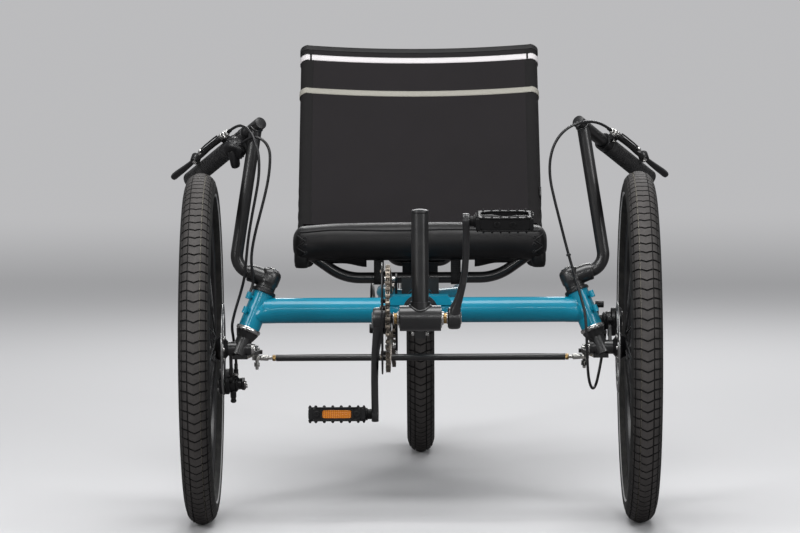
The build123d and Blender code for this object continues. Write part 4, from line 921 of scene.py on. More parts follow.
# %% Knuckle dressing
for name, flank in sides.items():
    body = f"knuckle_{name}"
    black, bright, clamp = Shape(), Shape(), Shape()
    head, centre = head_place(name), head_middle + pivot_line * 59.6
    lathe(clamp, [(14.4, 44), (16.6, 44.1), (17.2, 44.8), (17.2, 50), (18.6, 52), (19, 55),
                  (19, 67), (18.4, 71.4), (16.6, 74.8), (13.4, 76.8), (12, 77)], head, 56)
    mouth = np.array([head_middle[0] + 6, front_y + 25, centre[2] + 11])
    lip = mouth + [[0, 0, 0], [4.9, 0, 0.8], [7.9, 0, 1.2], [8.9, 0, 1.4]]
    tube(clamp, np.array([centre, *lip]) * flank, [16.6, 15.6, 15.3, 14.6, 13.0], 40)
    clamp.become(f"stem_{name}", body, satin_black)
    lathe(black, [(12.6, 76.4), (12.6, 77.8), (11.8, 78.6), (6, 78.8)], head, 40)
    lathe(black, [(15.5, -53), (20.3, -41.9), (20.6, -41.6), (15, -41.3)], head, 40)
    bolt(bright, head_place(name, 78.0), 5.0, 3.0)
    stem = (head_middle + pivot_line * 60) * flank
    for lift in (-8, 8):
        seat = stem + (np.array([-4.0, 17.4, 0]) + pivot_line * lift) * flank
        bolt(bright, Place(seat, [-flank[0], 0.25, 0]), 3.6, 4.2)
    lathe(bright, [(8, -1), (8, 1.2), (6.6, 2), (4, 2)],
          Place(np.array([292.2, front_y, axle_z]) * flank, [-flank[0], 0, 0]), 6)
    arm_bolt = np.array([291.0, -323.25, 297.0]) * flank
    lathe(bright, [(5.6, -1), (5.6, 3.6), (4.8, 4.4), (3.1, 4.6), (3.1, 7.5), (2.6, 8.4)],
          Place(arm_bolt, (0, 0, 1)), 6)
    black.become(f"knuckle_trim_{name}", body, satin_black)
    bright.become(f"knuckle_bolts_{name}", body, steel)

# %% [markdown]
# ## Tie rod
# A rod end is a forged eye round a polished ball, screwed into the rod and locked by a brass
# coloured nut. The stud's nut and its thread hang below.

# %% Rod ends
eyes, nuts = Shape(), Shape()
for flank in sides.values():
    ball = np.array([291.0, -323.25, 283.0]) * flank
    up = Place(ball, (0, 0, 1))
    lathe(eyes, [(5.6, -4), (8.2, -3.8), (8.6, -2.6), (8.6, 2.6), (8.2, 3.8), (5.6, 4)], up, 32,
          closed=True)
    height = np.linspace(-4.4, 4.4, 9)
    lathe(eyes, np.column_stack([np.sqrt(4.9 ** 2 - (height * 0.98) ** 2), height]), up, 24)
    lathe(eyes, [(3, -9.5), (3, 12)], up, 12)
    lathe(eyes, [(3, -19), (2.4, -20.5), (2.4, -20.8)][::-1] + [(3, -9)], up, 12)
    lathe(eyes, [(5.2, -15.4), (5.7, -14.6), (5.7, -8.6), (5.2, -7.8)], up, 6)
    inward = Place(ball, [-flank[0], 0, 0])
    lathe(eyes, [(5, 7.2), (4.6, 9), (5, 16), (5, 20), (3.1, 21), (3.1, 34)], inward, 20)
    lathe(nuts, [(5.0, 27.6), (5.6, 28.4), (5.6, 32.6), (5.0, 33.6)], inward, 6)
eyes.become("rod_ends", "tie_rod", rod_steel)
nuts.become("rod_end_nuts", "tie_rod", brass)

# %% [markdown]
# ## Brake calipers
# A mechanical caliper is two forged halves bolted round the disc. A lever arm on its face is
# pulled by the cable, and two bolts hold it to the lug.

# %% Calipers
caliper_x, caliper_angles = 336.5, {"left": 37.0, "right": -66.0}
cable_stops = {
    # mouth and root of the cable's stop
    "left": (np.array([324.0, -366.25, 318.0]), np.array([326.0, -364.25, 342.0])),
    "right": (np.array([325.5, -391.75, 270.0]), np.array([326.0, -391.25, 252.0])),
}


def caliper(name, flank):
    """Built on the left in a place whose local x points out from the axle; then mirrored."""
    turn = radians(caliper_angles[name])
    place = Place([caliper_x, front_y, axle_z], (1, 0, 0), (0, cos(turn), sin(turn)))
    black, bright = Shape(), Shape()
    body = oval(35, 47, 4.5, 40) + [66, 0]
    plate(black, body, place, 0, 8.2, 1.5)
    plate(black, body, place, 11.8, 19, 1.8)
    plate(black, oval(12, 38, 4, 24) + [79, 0], place, 8, 12, 0.2)
    for width, count, low, high, bevel in ((33, 40, -9, 1, 1.4), (27, 32, -15, -8, 1.6),
                                           (20, 32, -21, -14, 1.2)):
        plate(black, oval(width, width, 2, count) + [70, 0], place, low, high, bevel)
    arm = [[62, -8], [71, -11], [80, -6], [91, 12], [94, 25], [88, 29], [81, 20], [63, 8]]
    plate(black, arm, place, -26, -21, 0.9)
    plate(black, oval(13, 11, 2, 24) + [88, 22], place, -27, -12, 0.9)
    hoop(black, 15.2, 13.4, -13, -10.6, Place(place([70, 0, 0]), (1, 0, 0)), 0.6, 40)
    bolt(bright, Place(place([70, 0, -26]), (-1, 0, 0)), 4.6, 3.2)
    bolt(bright, Place(place([88, 22, -27]), (-1, 0, 0)), 3.6, 3.0)
    lathe(black, [(4.4, -9), (5.4, -8), (5.4, 5), (4.4, 6), (4.4, 11), (5.2, 11.6), (5.2, 14),
                  (4.2, 15)], Place(place([86, -12, -6]), place.axes[0], (1, 0, 0)), 20)
    for along in (-15, 15):
        bolt(bright, Place(place([54, along, 0]), (-1, 0, 0)), 3.8, 3.6)
        bolt(bright, Place(place([75, along * 0.9, 19]), (1, 0, 0)), 3.2, 2.4)
        lathe(black, [(5.4, -1.2), (6.2, -0.4), (6.2, 5), (5.6, 6)],
              Place(place([54, along, -4.6]), (1, 0, 0)), 16)
    mouth, root = cable_stops[name]
    stop = Place(mouth, root - mouth)
    length = np.linalg.norm(root - mouth)
    lathe(black, [(3.4, 0), (4.2, 0.6), (4.2, length * 0.4), (3.2, length * 0.45), (3.2, length)],
          stop, 20)
    lathe(bright, [(4.0, length * 0.4), (4.5, length * 0.42), (4.5, length * 0.62),
                   (4.0, length * 0.64)], stop, 56, wobble=knurl(14, 56, 0.08))
    lathe(bright, [(0.8, -2), (0.8, length + 4)], stop, 8)
    if flank[0] < 0:
        black, bright = black.mirrored(), bright.mirrored()
    rides = f"knuckle_{name}"
    black.become(f"caliper_{name}", rides, anodised)
    bright.become(f"caliper_bolts_{name}", rides, steel)


for name, flank in sides.items():
    caliper(name, flank)

# %% [markdown]
# ## Hand controls
# Bars, grips, brake levers and the thumb shifter all follow one line that runs back and down,
# so each is drawn in a place whose local z is that line and whose local x leans to the lever.

# %% Grips and bar plugs
def grip_place(flank, distance=0.0, offset=0.0):
    """Axes along the grip tube, so far from its front end, moved towards the brake lever."""
    origin = grip_top + grip_line * distance + lever_side * offset
    return Place(origin * flank, grip_line * flank, lever_side * flank)


for name, flank in sides.items():
    place = grip_place(flank)
    rib = np.arange(108.0, 232.0, 6.0)
    waist = np.column_stack([np.tile([15.4, 15.4, 14.5, 14.5], len(rib)),
                             (rib[:, None] + [0, 3.2, 3.6, 5.6]).ravel()])
    outer = [(11.3, 98.1), (15.0, 98.3), (15.5, 99.5), (15.5, 104), (14.6, 106), *waist,
             (15.2, 234), (15.5, 236), (15.5, 242.4), (14.2, 243.1)]
    grip = lathe(Shape(), outer, place, 40)
    grip.become(f"grip_{name}", f"knuckle_{name}", grip_rubber)
    plug = lathe(Shape(), [(10.8, 1.2), (11.1, 0.2), (11.0, -0.6), (10.0, -1.2), (3.0, -1.6)],
                 place, 32)
    plug.become(f"bar_plug_{name}", f"knuckle_{name}", plastic)

# %% [markdown]
# A brake lever is a clamp with a long body beside the bar: the barrel adjuster screws into its
# front, the spring runs along it, and the blade pivots at its rear and ends in a round knob.

# %% Brake levers
def bar_run(shape, line, rows, power, count):
    """A body along the bar; each row is (distance, width, depth, offset from its line)."""
    ring = oval(1, 1, power, count)
    rings = [np.column_stack([ring * [width, depth] + [offset, 0], np.full(count, distance)])
             for distance, width, depth, offset in rows]
    return shape.grid(line(np.array(rings)), ends=True)


def brake_lever(name, flank):
    """Local x leans from the bar to the lever, and local z runs back along it."""
    place = grip_place(flank)
    line = grip_place(flank, 0.0, 27.0)
    black, bright = Shape(), Shape()
    hoop(black, 16.0, 11.3, 82.3, 95.7, place, 0.8, 48)
    seat = Place(place([0, 0, 82.6]), grip_line * flank, lever_side * flank)
    plate(black, oval(18, 13.5, 6, 32) + [21, 0], seat, 0, 12.8, 1.2)
    outwards = np.cross(grip_line, lever_side) * flank * flank[0]
    bolt(bright, Place(place([18, 7, 89]), outwards), 3, 2.4)
    bar_run(black, line, [
        (84.0, 8.5, 11.0, 0), (90, 9.4, 13.6, 0), (100, 9.0, 13.4, 0), (118, 8.4, 11.0, 0),
        (136, 8.4, 10.6, 0), (150, 9.2, 12.8, 0), (160, 9.4, 13.8, 0), (172, 9.0, 13.8, 0),
        (184, 8.0, 11.0, 0)], 4.0, 28)
    for rail in (-4.2, 4.2):
        rod = [[6.0, rail, 100], [6.6, rail, 112], [6.6, rail, 140], [6, rail, 154]]
        tube(black, line(np.array(rod)), 1.5, 8)
    for profile in ([(5.6, 84.2), (6.4, 85), (6.4, 90), (5.4, 90.6), (4.2, 91), (4.2, 96)],
                    [(3.0, 68.8), (4.6, 69.6), (4.6, 76.6), (6.2, 77.4), (6.2, 83.2), (5.2, 84)]):
        lathe(bright, profile, line, 64, wobble=knurl(16, 64, 0.07))
    pivot = Place(line([0, -8.0, 181]), line.axes[1])
    lathe(black, [(8.2, 1.0), (8.9, 2.0), (8.9, 14.0), (8.2, 15.0)], pivot, 32)
    for end, way in ((0.6, -1), (15.4, 1)):
        bolt(bright, Place(pivot([0, 0, end]), pivot.axes[2] * way), 4.2, 1.8)
    lathe(bright, [(5.2, 152.5), (6.2, 153.4), (6.2, 160), (5.4, 161)],
          Place(line([2.2, 0, 0]), grip_line * flank, lever_side * flank), 24)
    blade = [(180.0, 8.6, 0), (188, 8.4, -0.6), (200, 8.8, -1.0), (214, 9.8, -1.0),
             (230, 11.0, -0.6), (246, 11.8, 0), (256, 12.0, 0), (260.4, 10.6, 0), (262, 7.0, 0)]
    bar_run(black, line, [(at, wide, wide * 1.02, lift) for at, wide, lift in blade], 2.4, 24)
    hoop(bright, 3.0, 1.6, 262.0, 262.5, line, 0.2, 24)
    black.become(f"brake_lever_{name}", f"knuckle_{name}", anodised)
    bright.become(f"lever_fittings_{name}", f"knuckle_{name}", steel)


for name, flank in sides.items():
    brake_lever(name, flank)

# %% [markdown]
# The thumb shifter hangs under the right bar: a band, a drum with the index ring, and a small
# paddle that points down. It has no marks: the real one's window and name are left plain.

# %% Shifter
shifter_side = np.array([0.408162, -0.692702, -0.594615])
pod = np.array([323.111, -371.075, 660.752])
bar_side = Place(grip_top * flip, grip_line * flip, shifter_side * flip)
drum = Place(pod * flip, shifter_side * flip, grip_line * flip)
black, bright = Shape(), Shape()
hoop(black, 15.0, 11.3, 46.2, 58, bar_side, 0.8, 48)
hoop(black, 14.6, 11.3, 66, 79.8, bar_side, 0.8, 48)
plate(black, oval(15, 25, 5, 32) + [17.2, 0], bar_side, 46.4, 79.6, 2.0)
lathe(black, [(15.0, -9), (18.4, -6), (20.0, -2), (20.4, 3), (19.4, 3.8), (19.4, 5.4), (20.0, 6.2),
              (19.6, 11), (17.6, 15.4), (14.6, 17.2), (4, 17.8)], drum, 64)
lathe(black, [(19.4, 6.4), (20.6, 7.2), (20.4, 9.6), (19.2, 10.2)], drum, 72,
      wobble=knurl(18, 72, 0.03))
drop = np.array([-5.0, 6.0, -27.0])
root = pod + shifter_side * 11
paddle = (root + np.outer([0.0, 0.3, 0.6, 0.85, 1.0, 1.06], drop + shifter_side * 3)) * flip
black.grid(carried(paddle, oval(1, 1, 3, 20) * [1.0, 0.62], [22, 21, 19, 18, 15, 8]), ends=True)
bolt(bright, Place(drum([0, 0, 17.4]), shifter_side * flip), 4.2, 1.6)
pod_mouth = np.array([312.468, -392.207, 667.974]) * flip
lathe(black, [(3.2, -0.2), (4.2, 0.6), (4.2, 9), (4.6, 9.6), (4.6, 14), (4.0, 15), (4.0, 24)],
      Place(pod_mouth, grip_line * flip), 24)
black.become("shifter", "knuckle_right", plastic)
bright.become("shifter_bolt", "knuckle_right", steel)

# %% [markdown]
# ## Cranks and rings
# A crank arm is forged: its section is a rounded bar that swells into two eyes and bends
# outwards between them, to clear the rider's heel. The section is carried along that bend.

# %% Crank arms
crank_tilt, crank_length = radians(12), 165
arm_up = np.array([0.0, -sin(crank_tilt), cos(crank_tilt)])
arm_tables = {
    # share of the arm, inner face, outer face, width
    1: [(-0.09, 48, 64, 16), (-0.06, 46.6, 65.4, 26), (0, 46, 66, 32), (0.07, 46.6, 66.4, 31),
        (0.12, 50, 66.9, 28), (0.163, 53.6, 68.4, 26.4), (0.24, 58.8, 71.4, 25),
        (0.324, 62.8, 74.6, 24.6), (0.4, 65.6, 76.8, 24.4), (0.48, 67.4, 78.6, 24.2),
        (0.64, 69.4, 80.5, 23.6), (0.83, 70.2, 81.6, 23.2), (0.95, 69.8, 81.5, 24.4),
        (1.0, 69.5, 81.5, 25.6), (1.05, 70, 81, 21), (1.07, 71, 80, 15)],
    -1: [(-0.09, 58, 76, 16), (-0.06, 56.6, 77.6, 26), (0, 56, 78, 32), (0.07, 56.6, 78, 31),
         (0.14, 59.8, 78.4, 27), (0.22, 63.6, 79.2, 25.6), (0.32, 66.8, 80.4, 24.8),
         (0.45, 69, 81.4, 24.2), (0.65, 70, 81.9, 23.4), (0.85, 69.8, 81.7, 23),
         (0.95, 69.5, 81.5, 24.4), (1.0, 69.5, 81.5, 25.6), (1.05, 70, 81, 21),
         (1.07, 71, 80, 15)],
}
arms, caps = Shape(), Shape()
for side, rows in arm_tables.items():
    heading = arm_up * side
    place = Place(bracket, heading, (1, 0, 0))
    table = np.array(rows)
    ring = oval(1, 1, 3.2, 32)
    middle = side * (table[:, 1] + table[:, 2]) / 2
    span = np.stack([table[:, 2] - table[:, 1], table[:, 3]], -1)
    flat = ring[None] * span[:, None] + np.stack([middle, 0 * middle], -1)[:, None]
    level = np.broadcast_to((table[:, 0] * crank_length)[:, None, None], (len(table), 32, 1))
    arms.grid(place(np.concatenate([flat, level], -1)), ends=True)
    outward = np.array([side, 0, 0])
    eye = bracket + heading * crank_length
    inner, outer = rows[2][1:3]
    lathe(arms, [(14.6, inner - 1), (17.4, inner + 1), (18.4, inner + 6), (18.2, outer - 5),
                 (16.6, outer - 1), (13, outer + 0.4)], Place(bracket, outward), 48)
    lathe(arms, [(12, 69.7), (13, 70.6), (13, 80.4), (12, 81.4)], Place(eye, outward), 40)
    lathe(caps, [(10.6, outer - 0.6), (10.6, outer + 0.6), (9.4, outer + 1.6), (7, outer + 1.8),
                 (6, outer + 0.8), (2, outer + 0.6)], Place(bracket, outward), 40)
lathe(arms, [(9.4, -60), (9.4, -48), (7, -46), (7, 45), (9.4, 47), (9.4, 60)],
      Place(bracket, (1, 0, 0)), 40)
arms.become("crank_arms", "cranks", arm_black)
caps.become("crank_bolts", "cranks", steel)

# %% [markdown]
# The bottom bracket shell is closed by two threaded cups: a slim bright ring against the shell,
# and a notched brass coloured rim.

# %% Bracket cups
for side in (-1, 1):
    cup = Place(bracket, (side, 0, 0))
    notches = 1 - 0.05 * (np.arange(80) % 5 < 2)
    name = "left" if side > 0 else "right"
    ring = lathe(Shape(), [(7.2, 34.2), (15.8, 34.3), (16.2, 34.8), (15.8, 35.4), (11.2, 36.0),
                           (10.8, 38.2), (7.2, 38.4)], cup, 80)
    lathe(ring, [(7.2, 43.4), (9.6, 43.5), (9.8, 44.4), (9.4, 45.0), (7.2, 45.2)], cup, 60)
    ring.become(f"bracket_ring_{name}", "frame", steel)
    ring = lathe(Shape(), [(7.2, 38), (8.4, 38.2), (8.8, 38.8), (8.8, 43.0), (8.2, 43.6),
                           (7.2, 43.7)], cup, 80, wobble=notches)
    piece = ring.become(f"bracket_cup_{name}", "frame", brass)
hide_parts("bracket_cups")

# %% [markdown]
# Ring, cogs and pulleys are all toothed discs: between two teeth the edge dips to hold a roller.
# The radius is tip - depth * |cos(n a / 2)| ^ 3 for n teeth, so one line makes every wheel that
# the chain meets.

# %% Toothed discs
chain_pitch, ring_teeth, chain_x, link_pairs = 12.7, 42, -53.0, 147


def toothed(shape, place, teeth, tip, depth, inner, low, high, bevel):
    """Edge radius = tip - depth * |cos(n a / 2)| ^ 3."""
    count = teeth * 8
    turn = 2 * pi * np.arange(count) / count
    edge = tip - depth * np.abs(np.cos(teeth * turn / 2)) ** 3
    return hoop(shape, edge, inner, low, high, place, bevel, count)


ring_place = Place(bracket, (-1, 0, 0), (0, 0, 1))
ring_black, ring_steel = Shape(), Shape()
pitch_radius = chain_pitch / (2 * np.sin(pi / ring_teeth))
toothed(ring_steel, ring_place, ring_teeth, pitch_radius + 1.4, 4.6, 72, 52, 54, 0.35)
hoop(ring_black, 27, 18.3, 51, 56, ring_place, 0.8, 60)
arm = np.array([[20, -9], [34, -7.4], [52, -6.2], [66, -6.4], [77, -8.2], [79, -5]])
arm = np.concatenate([arm, arm[::-1] * [1, -1]])
for turn in 2 * pi * np.arange(5) / 5:
    spin = np.array([[cos(turn), sin(turn)], [-sin(turn), cos(turn)]])
    plate(ring_black, arm @ spin, ring_place, 51.2, 54.9, 0.9)
    pin = Place(ring_place([75.5 * cos(turn), 75.5 * sin(turn), 53.0]), (-1, 0, 0))
    lathe(ring_black, [(4, 0), (4, 7.6), (3.6, 8)], pin, 16)
    bolt(ring_steel, Place(pin([0, 0, 11.4]), (-1, 0, 0)), 4.2, 1.4)
hoop(ring_black, 92, 68.5, 61.2, 63.9, ring_place, 0.9, 120)
ring_steel.become("chainring_teeth", "cranks", dark_steel)
ring_black.become("chainring", "cranks", anodised)

# %% [markdown]
# ## Chain
# A roller chain is two sorts of link in turn, joined by pins. Its path is the belt round the
# chain's wheels: straight tangents and arcs, found from each pair of circles. Each link is one
# small outline, and one array places all of them at once.

# %% Chain path
chain_stops = [
    # y, z, pitch radius, turn: -1 bends right as the chain is followed backwards along the top
    (-918.25, 402.0, 84.8932, -1), (-343.25, 424.0, 22.2339, 1), (701.75, 308.5, 34.3616, -1),
    (709.75, 246.5, 22.2339, 1), (687.75, 196.5, 22.2339, -1), (-278.25, 300.0, 22.2339, 1),
]


def belt(stops):
    """Points along the arcs, joined by tangents, and their distances. A tangent's heading is
    the line between the centres, less asin of the difference of the signed radii over its
    length."""
    stops = np.array(stops)
    centre, radius, turn = stops[:, :2], stops[:, 2] * stops[:, 3], stops[:, 3]
    gap = np.roll(centre, -1, 0) - centre
    reach = np.hypot(*gap.T)
    heading = np.arctan2(gap[:, 1], gap[:, 0]) - np.arcsin((np.roll(radius, -1) - radius) / reach)
    left = np.stack([-np.sin(heading), np.cos(heading)], -1)
    leave = centre - left * radius[:, None]
    arrive = np.roll(np.roll(centre, -1, 0) - left * np.roll(radius, -1)[:, None], 1, 0)
    path = []
    for index in range(len(stops)):
        start = np.arctan2(*(arrive[index] - centre[index])[::-1])
        end = np.arctan2(*(leave[index] - centre[index])[::-1])
        swing = turn[index] * ((turn[index] * (end - start)) % (2 * pi))
        along = start + swing * np.linspace(0, 1, 40)
        path.append(centre[index] + stops[index, 2] * np.stack([np.cos(along), np.sin(along)], -1))
    path = np.concatenate([*path, path[0][:1]])
    length = np.append(0, np.cumsum(np.hypot(*np.diff(path, axis=0).T)))
    return path, length


route, route_length = belt(chain_stops)
mark = np.linspace(0, route_length[-1], 2 * link_pairs, endpoint=False)
pins = np.stack([np.interp(mark, route_length, route[:, axis]) for axis in (0, 1)], -1)
print("chain", round(route_length[-1]), "mm,", len(pins), "links")

# %% [markdown]
# A link's plate is two round eyes with a narrow waist. Wide and narrow pairs of plates take
# turns, with a roller and a pin at every joint. Copies along a curve would do it too, but an
# array of outlines needs no modifier and meets the path at every pin.

# %% Chain links
def links(shape, start, end, outline, levels):
    """Every link at once: outline point (a, b) goes to start + a * along + b * across."""
    along = end - start
    size = np.hypot(*along.T)
    along = along / size[:, None]
    across = np.stack([-along[:, 1], along[:, 0]], -1)
    stretch = (size / chain_pitch)[:, None, None]
    flat = (start[:, None] + outline[None, :, :1] * along[:, None] * stretch
            + outline[None, :, 1:] * across[:, None])
    for low, high in levels:
        for one in flat:
            rings = [np.column_stack([np.full(len(one), chain_x + x), one]) for x in (low, high)]
            shape.grid(np.array(rings), ends=True)
    return shape


half_plate = np.array([[-3.6, 0], [-2.6, 3.2], [0.6, 4.25], [6.35, 2.6], [12.1, 4.25],
                       [15.3, 3.2], [16.3, 0]])
half_plate = np.concatenate([half_plate, half_plate[-2:0:-1] * [1, -1]])
after = np.roll(pins, -1, 0)
chain = Shape()
links(chain, pins[::2], after[::2], half_plate, [(-3.6, -2.9), (2.9, 3.6)])
links(chain, pins[1::2], after[1::2], half_plate * [1, 0.96], [(-2.8, -2.0), (2.0, 2.8)])
links(chain, pins, after, circle(8) * 3.9, [(-1.9, 1.9)])
links(chain, pins, after, circle(6) * 1.7, [(-4.0, 4.0)])
chain.become("chain", "frame", dark_steel, crease=30)

# %% [markdown]
# ## Rear drive
# Eight cogs slide on the freehub. The derailleur hangs from the right dropout: a parallelogram
# moves a cage whose two pulleys keep the slack out of the chain.

# %% Cassette
cog_spacing, cog_teeth = 4.8, [11, 13, 17, 19, 21, 24, 28, 31]
cog_radii = [21.5, 25.5, 29.3, 41.0, 45.5, 50.0, 55.5, 61.0]
axle = Place([0, rear_y, axle_z], (1, 0, 0), (0, 0, 1))
cogs = Shape()
for index, (teeth, radius) in enumerate(zip(cog_teeth, cog_radii)):
    x = chain_x + (index - 2) * cog_spacing
    toothed(cogs, axle, teeth, radius, 3.4, 17.7, x - 0.85, x + 0.85, 0.3)
lathe(cogs, [(17.7, -65), (21, -64.6), (21, -63.9), (17.7, -63.6)], axle, 40, closed=True)
lathe(cogs, [(17.6, -64.5), (19.4, -64.5), (19.4, -22.6), (17.6, -22.6)], axle, 40, closed=True)
cogs.become("cassette", "rear_wheel", dark_steel)

# %% [markdown]
# Two idlers on one arm lead the chain past the main tube, above and below. They and the cage's
# two pulleys are the same moulded wheel round a steel bushing, so one function draws all four.

# %% Pulleys, idler and derailleur
idlers = chain_stops[1][:2], chain_stops[5][:2]
cage_pulleys = chain_stops[3][:2], chain_stops[4][:2]


def pulley(shape, bright, y, z):
    """A moulded toothed wheel round a steel bushing."""
    place = Place([chain_x, y, z], (1, 0, 0), (0, 0, 1))
    toothed(shape, place, 11, 17.4, 2.6, 6.2, -1.7, 1.7, 0.4)
    hoop(shape, 12.0, 6.2, -3.3, 3.3, place, 0.5, 48)
    lathe(bright, [(6.0, -3.6), (6.0, 3.6)], place, 24)


black, bright, wheels_black = Shape(), Shape(), Shape()
for y, z in idlers:
    pulley(wheels_black, bright, y, z)
    pin = Place([chain_x, y, z], (-1, 0, 0))
    lathe(bright, [(5, -12.5), (5, 7.2), (4.4, 7.6)], pin, 16)
    bolt(bright, Place(pin([0, 0, 7.2]), (-1, 0, 0)), 5.4, 3.0)
fold = Place([-44.4, 0, 0], (1, 0, 0), (0, 1, 0))
arm = np.array([[-352.25, 428], [-347, 434], [-340, 435.5], [-335.25, 432], [-322, 412],
                [-306.33, 378], [-284, 330], [-269.25, 304], [-270, 296], [-276, 290.6],
                [-283, 291], [-290.25, 300], [-310, 336], [-332.33, 378], [-346, 408]])
plate(black, arm, fold, 0, 4, 0.8)
arm_y, arm_z = -319.33, 378
lathe(black, [(12, -39.9), (12, -27), (11, -26)], Place([0, arm_y, arm_z], (1, 0, 0)), 36)
hoop(black, 28.4, 25.5, -9, 9, Place([0, arm_y, arm_z], y_line, (0, 0, 1)), 0.8, 72)
bolt(bright, Place([-40.4, arm_y, arm_z], (-1, 0, 0)), 5.0, 4.0)
black.become("chain_idler", "frame", anodised)
bright.become("idler_bolts", "frame", steel)
wheels_black.become("idler_pulleys", "frame", plastic)

black, bright, wheels_black = Shape(), Shape(), Shape()
for y, z in cage_pulleys:
    pulley(wheels_black, bright, y, z)
    bolt(bright, Place([-60.6, y, z], (-1, 0, 0)), 4.2, 1.4)
cage = np.array([[-10, 6], [-6, 11], [2, 12.6], [10, 9], [12.4, 1], [9, -12], [4, -30],
                 [-4, -52], [-10, -60.4], [-18, -62.4], [-27, -60], [-32.4, -52], [-32, -44],
                 [-24, -30], [-15, -10]])
for x in (-59.9, -48.2):
    plate(black, cage + cage_pulleys[0], Place([x, 0, 0], (1, 0, 0), (0, 1, 0)), 0, 2, 0.5)
swivel = Place([0, *cage_pulleys[0]], (-1, 0, 0))
lathe(black, [(10.6, 60.2), (12, 61.4), (12, 86), (10.8, 92), (9.6, 101.6), (8, 102.6)],
      swivel, 36)
hanger, knuckle = np.array([-70.5, 711.75, 281.5]), np.array([-93.0, *cage_pulleys[0]])
for shift in (-4.6, 4.6):
    link = np.linspace(knuckle + [2, shift, 6], hanger + [-17, shift, -6], 4)
    black.grid(carried(link, oval(7, 5.4, 5, 20), [1.0, 1.1, 1.1, 1.0], lean=(0, 1.0, 0)),
               ends=True)
lathe(black, [(9, 3.5), (10, 4.6), (10, 22.6), (8.8, 23.8)], Place(hanger, (-1, 0, 0)), 36)
bolt(bright, Place(hanger - [23.6, 0, 0], (-1, 0, 0)), 5.2, 1.6)
mouth, foot = np.array([-95, 735.75, 256.5]), np.array([-93, 717.75, 246.5])
lathe(black, [(3.4, 0), (4.3, 0.6), (4.3, 7), (3.4, 7.6), (3.4, 20)],
      Place(mouth, foot - mouth), 24)
black.become("rear_derailleur", "frame", anodised)
bright.become("derailleur_bolts", "frame", steel)
wheels_black.become("derailleur_pulleys", "frame", plastic)

# %% [markdown]
# ## Pedals
# A touring pedal: two toothed plates, above and below, joined by side plates and end bridges, a
# barrel on the axle, and an amber reflector in the side plate that faces backwards or forwards.

# %% Pedals
pedal_out = 89.5 + 49


def squircle(a, b, power):
    """Radius = 1 / (|cos t / a| ^ p + |sin t / b| ^ p) ^ (1 / p) at each angle t."""
    ring = np.abs(circle(96))
    return 1 / ((ring[:, 0] / a) ** power + (ring[:, 1] / b) ** power) ** (1 / power)


def pedal(name, side, tip_degrees):
    """Local x runs outwards along the axle, y across the pedal and z up through its tread."""
    tip = radians(tip_degrees)
    eye = bracket + arm_up * side * crank_length
    centre = eye + np.array([side * pedal_out, 0, 0])
    outward = np.array([side, 0, 0])
    top = Place(centre, (0, -sin(tip), cos(tip)), outward)
    black, bright, lens = Shape(), Shape(), Shape()
    spikes = [(x, y) for x in (-35, -21, -7, 7, 21, 35) for y in (-29.5, 29.5)]
    spikes += [(x, y) for x in (-44.5, 44.5) for y in (-16, 0, 16)]
    for low in (9.2, -11.8):
        hoop(black, squircle(47.5, 32, 5), squircle(39, 25.5, 4), low, low + 2.6, top, 0.7, 96)
        way = np.sign(low)
        for x, y in spikes:
            foot = Place(top([x, y, 11.4 * way]), top.axes[2] * way, outward)
            lathe(black, [(2.3, 0), (1.9, 1.4), (1.0, 3.0), (0.5, 3.3)], foot, 8)
    for way in (-1, 1):
        face = Place(centre, top.axes[1] * way, outward)
        plate(black, oval(80, 19, 7, 48), face, 27.0, 29.4, 0.5)
        if way > 0:
            hoop(black, squircle(28, 9.6, 8), squircle(24.2, 7.0, 8), 29.0, 31.6, face, 0.4, 96)
            plate(lens, oval(48, 13.6, 9, 40), face, 28.6, 30.6, 0.6)
        for x in (-33, 33) if way > 0 else (-13, 13):
            lathe(black, [(5.4, 28), (5.4, 30.4), (4.6, 31.0), (2.6, 31.0), (2.2, 29.8)],
                  Place(face([x, 0, 0]), face.axes[2]), 20)
    for end, wide in ((-42.5, 10), (43.0, 8)):
        block = Place(centre + outward * end, top.axes[1], outward)
        plate(black, oval(wide, 20, 4, 28), block, -28, 28, 1.2)
    spindle = Place(centre, outward)
    lathe(black, [(8, -48.6), (10.6, -46), (10.8, -20), (8, -8), (8, 8), (9.6, 20), (9.6, 38),
                  (8, 41)], spindle, 32)
    lathe(black, [(6.8, -60), (8.6, -59), (8.6, -51), (10.4, -50), (10.4, -47.4)], spindle, 24)
    lathe(bright, [(6.6, -67), (6.6, -59)], spindle, 24)
    lathe(bright, [(8.2, -63), (8.2, -60)], spindle, 6)
    body = f"pedal_{name}"
    black.become(body, body, pedal_black, crease=30)
    bright.become(f"{body}_spindle", body, steel)
    lens.become(f"{body}_reflectors", body, amber)


pedal("left", 1, 8)
pedal("right", -1, -6)

# %% [markdown]
# ## Sling seat
# The seat is a hammock: open-weave cloth sewn into sleeves that slide over the side rails, and
# pulled tight by straps behind. The cloth is a sheet carried along the rails' own line. Across
# the seat it hangs between them, deepest in the middle, where the rider's weight goes.

# %% Lines of the seat
rail_x, cloth_half, cloth_lift, seat_body = 212.0, 211.0, 15.6, "seat"
cloth_line = [[448.0, 810], [250, 614], [61.75, 428], [-60, 440], [-150, 462], [-184, 492],
              [-214, 499]]
sleeve_line = [[449.75, 812.0], [256, 620], [61.75, 428.0], [-80, 449], [-196, 466]]


def evenly(path, count):
    """The same path at equal steps of its length."""
    length = np.append(0, np.cumsum(np.linalg.norm(np.diff(path, axis=0), axis=1)))
    mark = np.linspace(0, length[-1], count)
    return np.stack([np.interp(mark, length, column) for column in path.T], -1), length[-1]


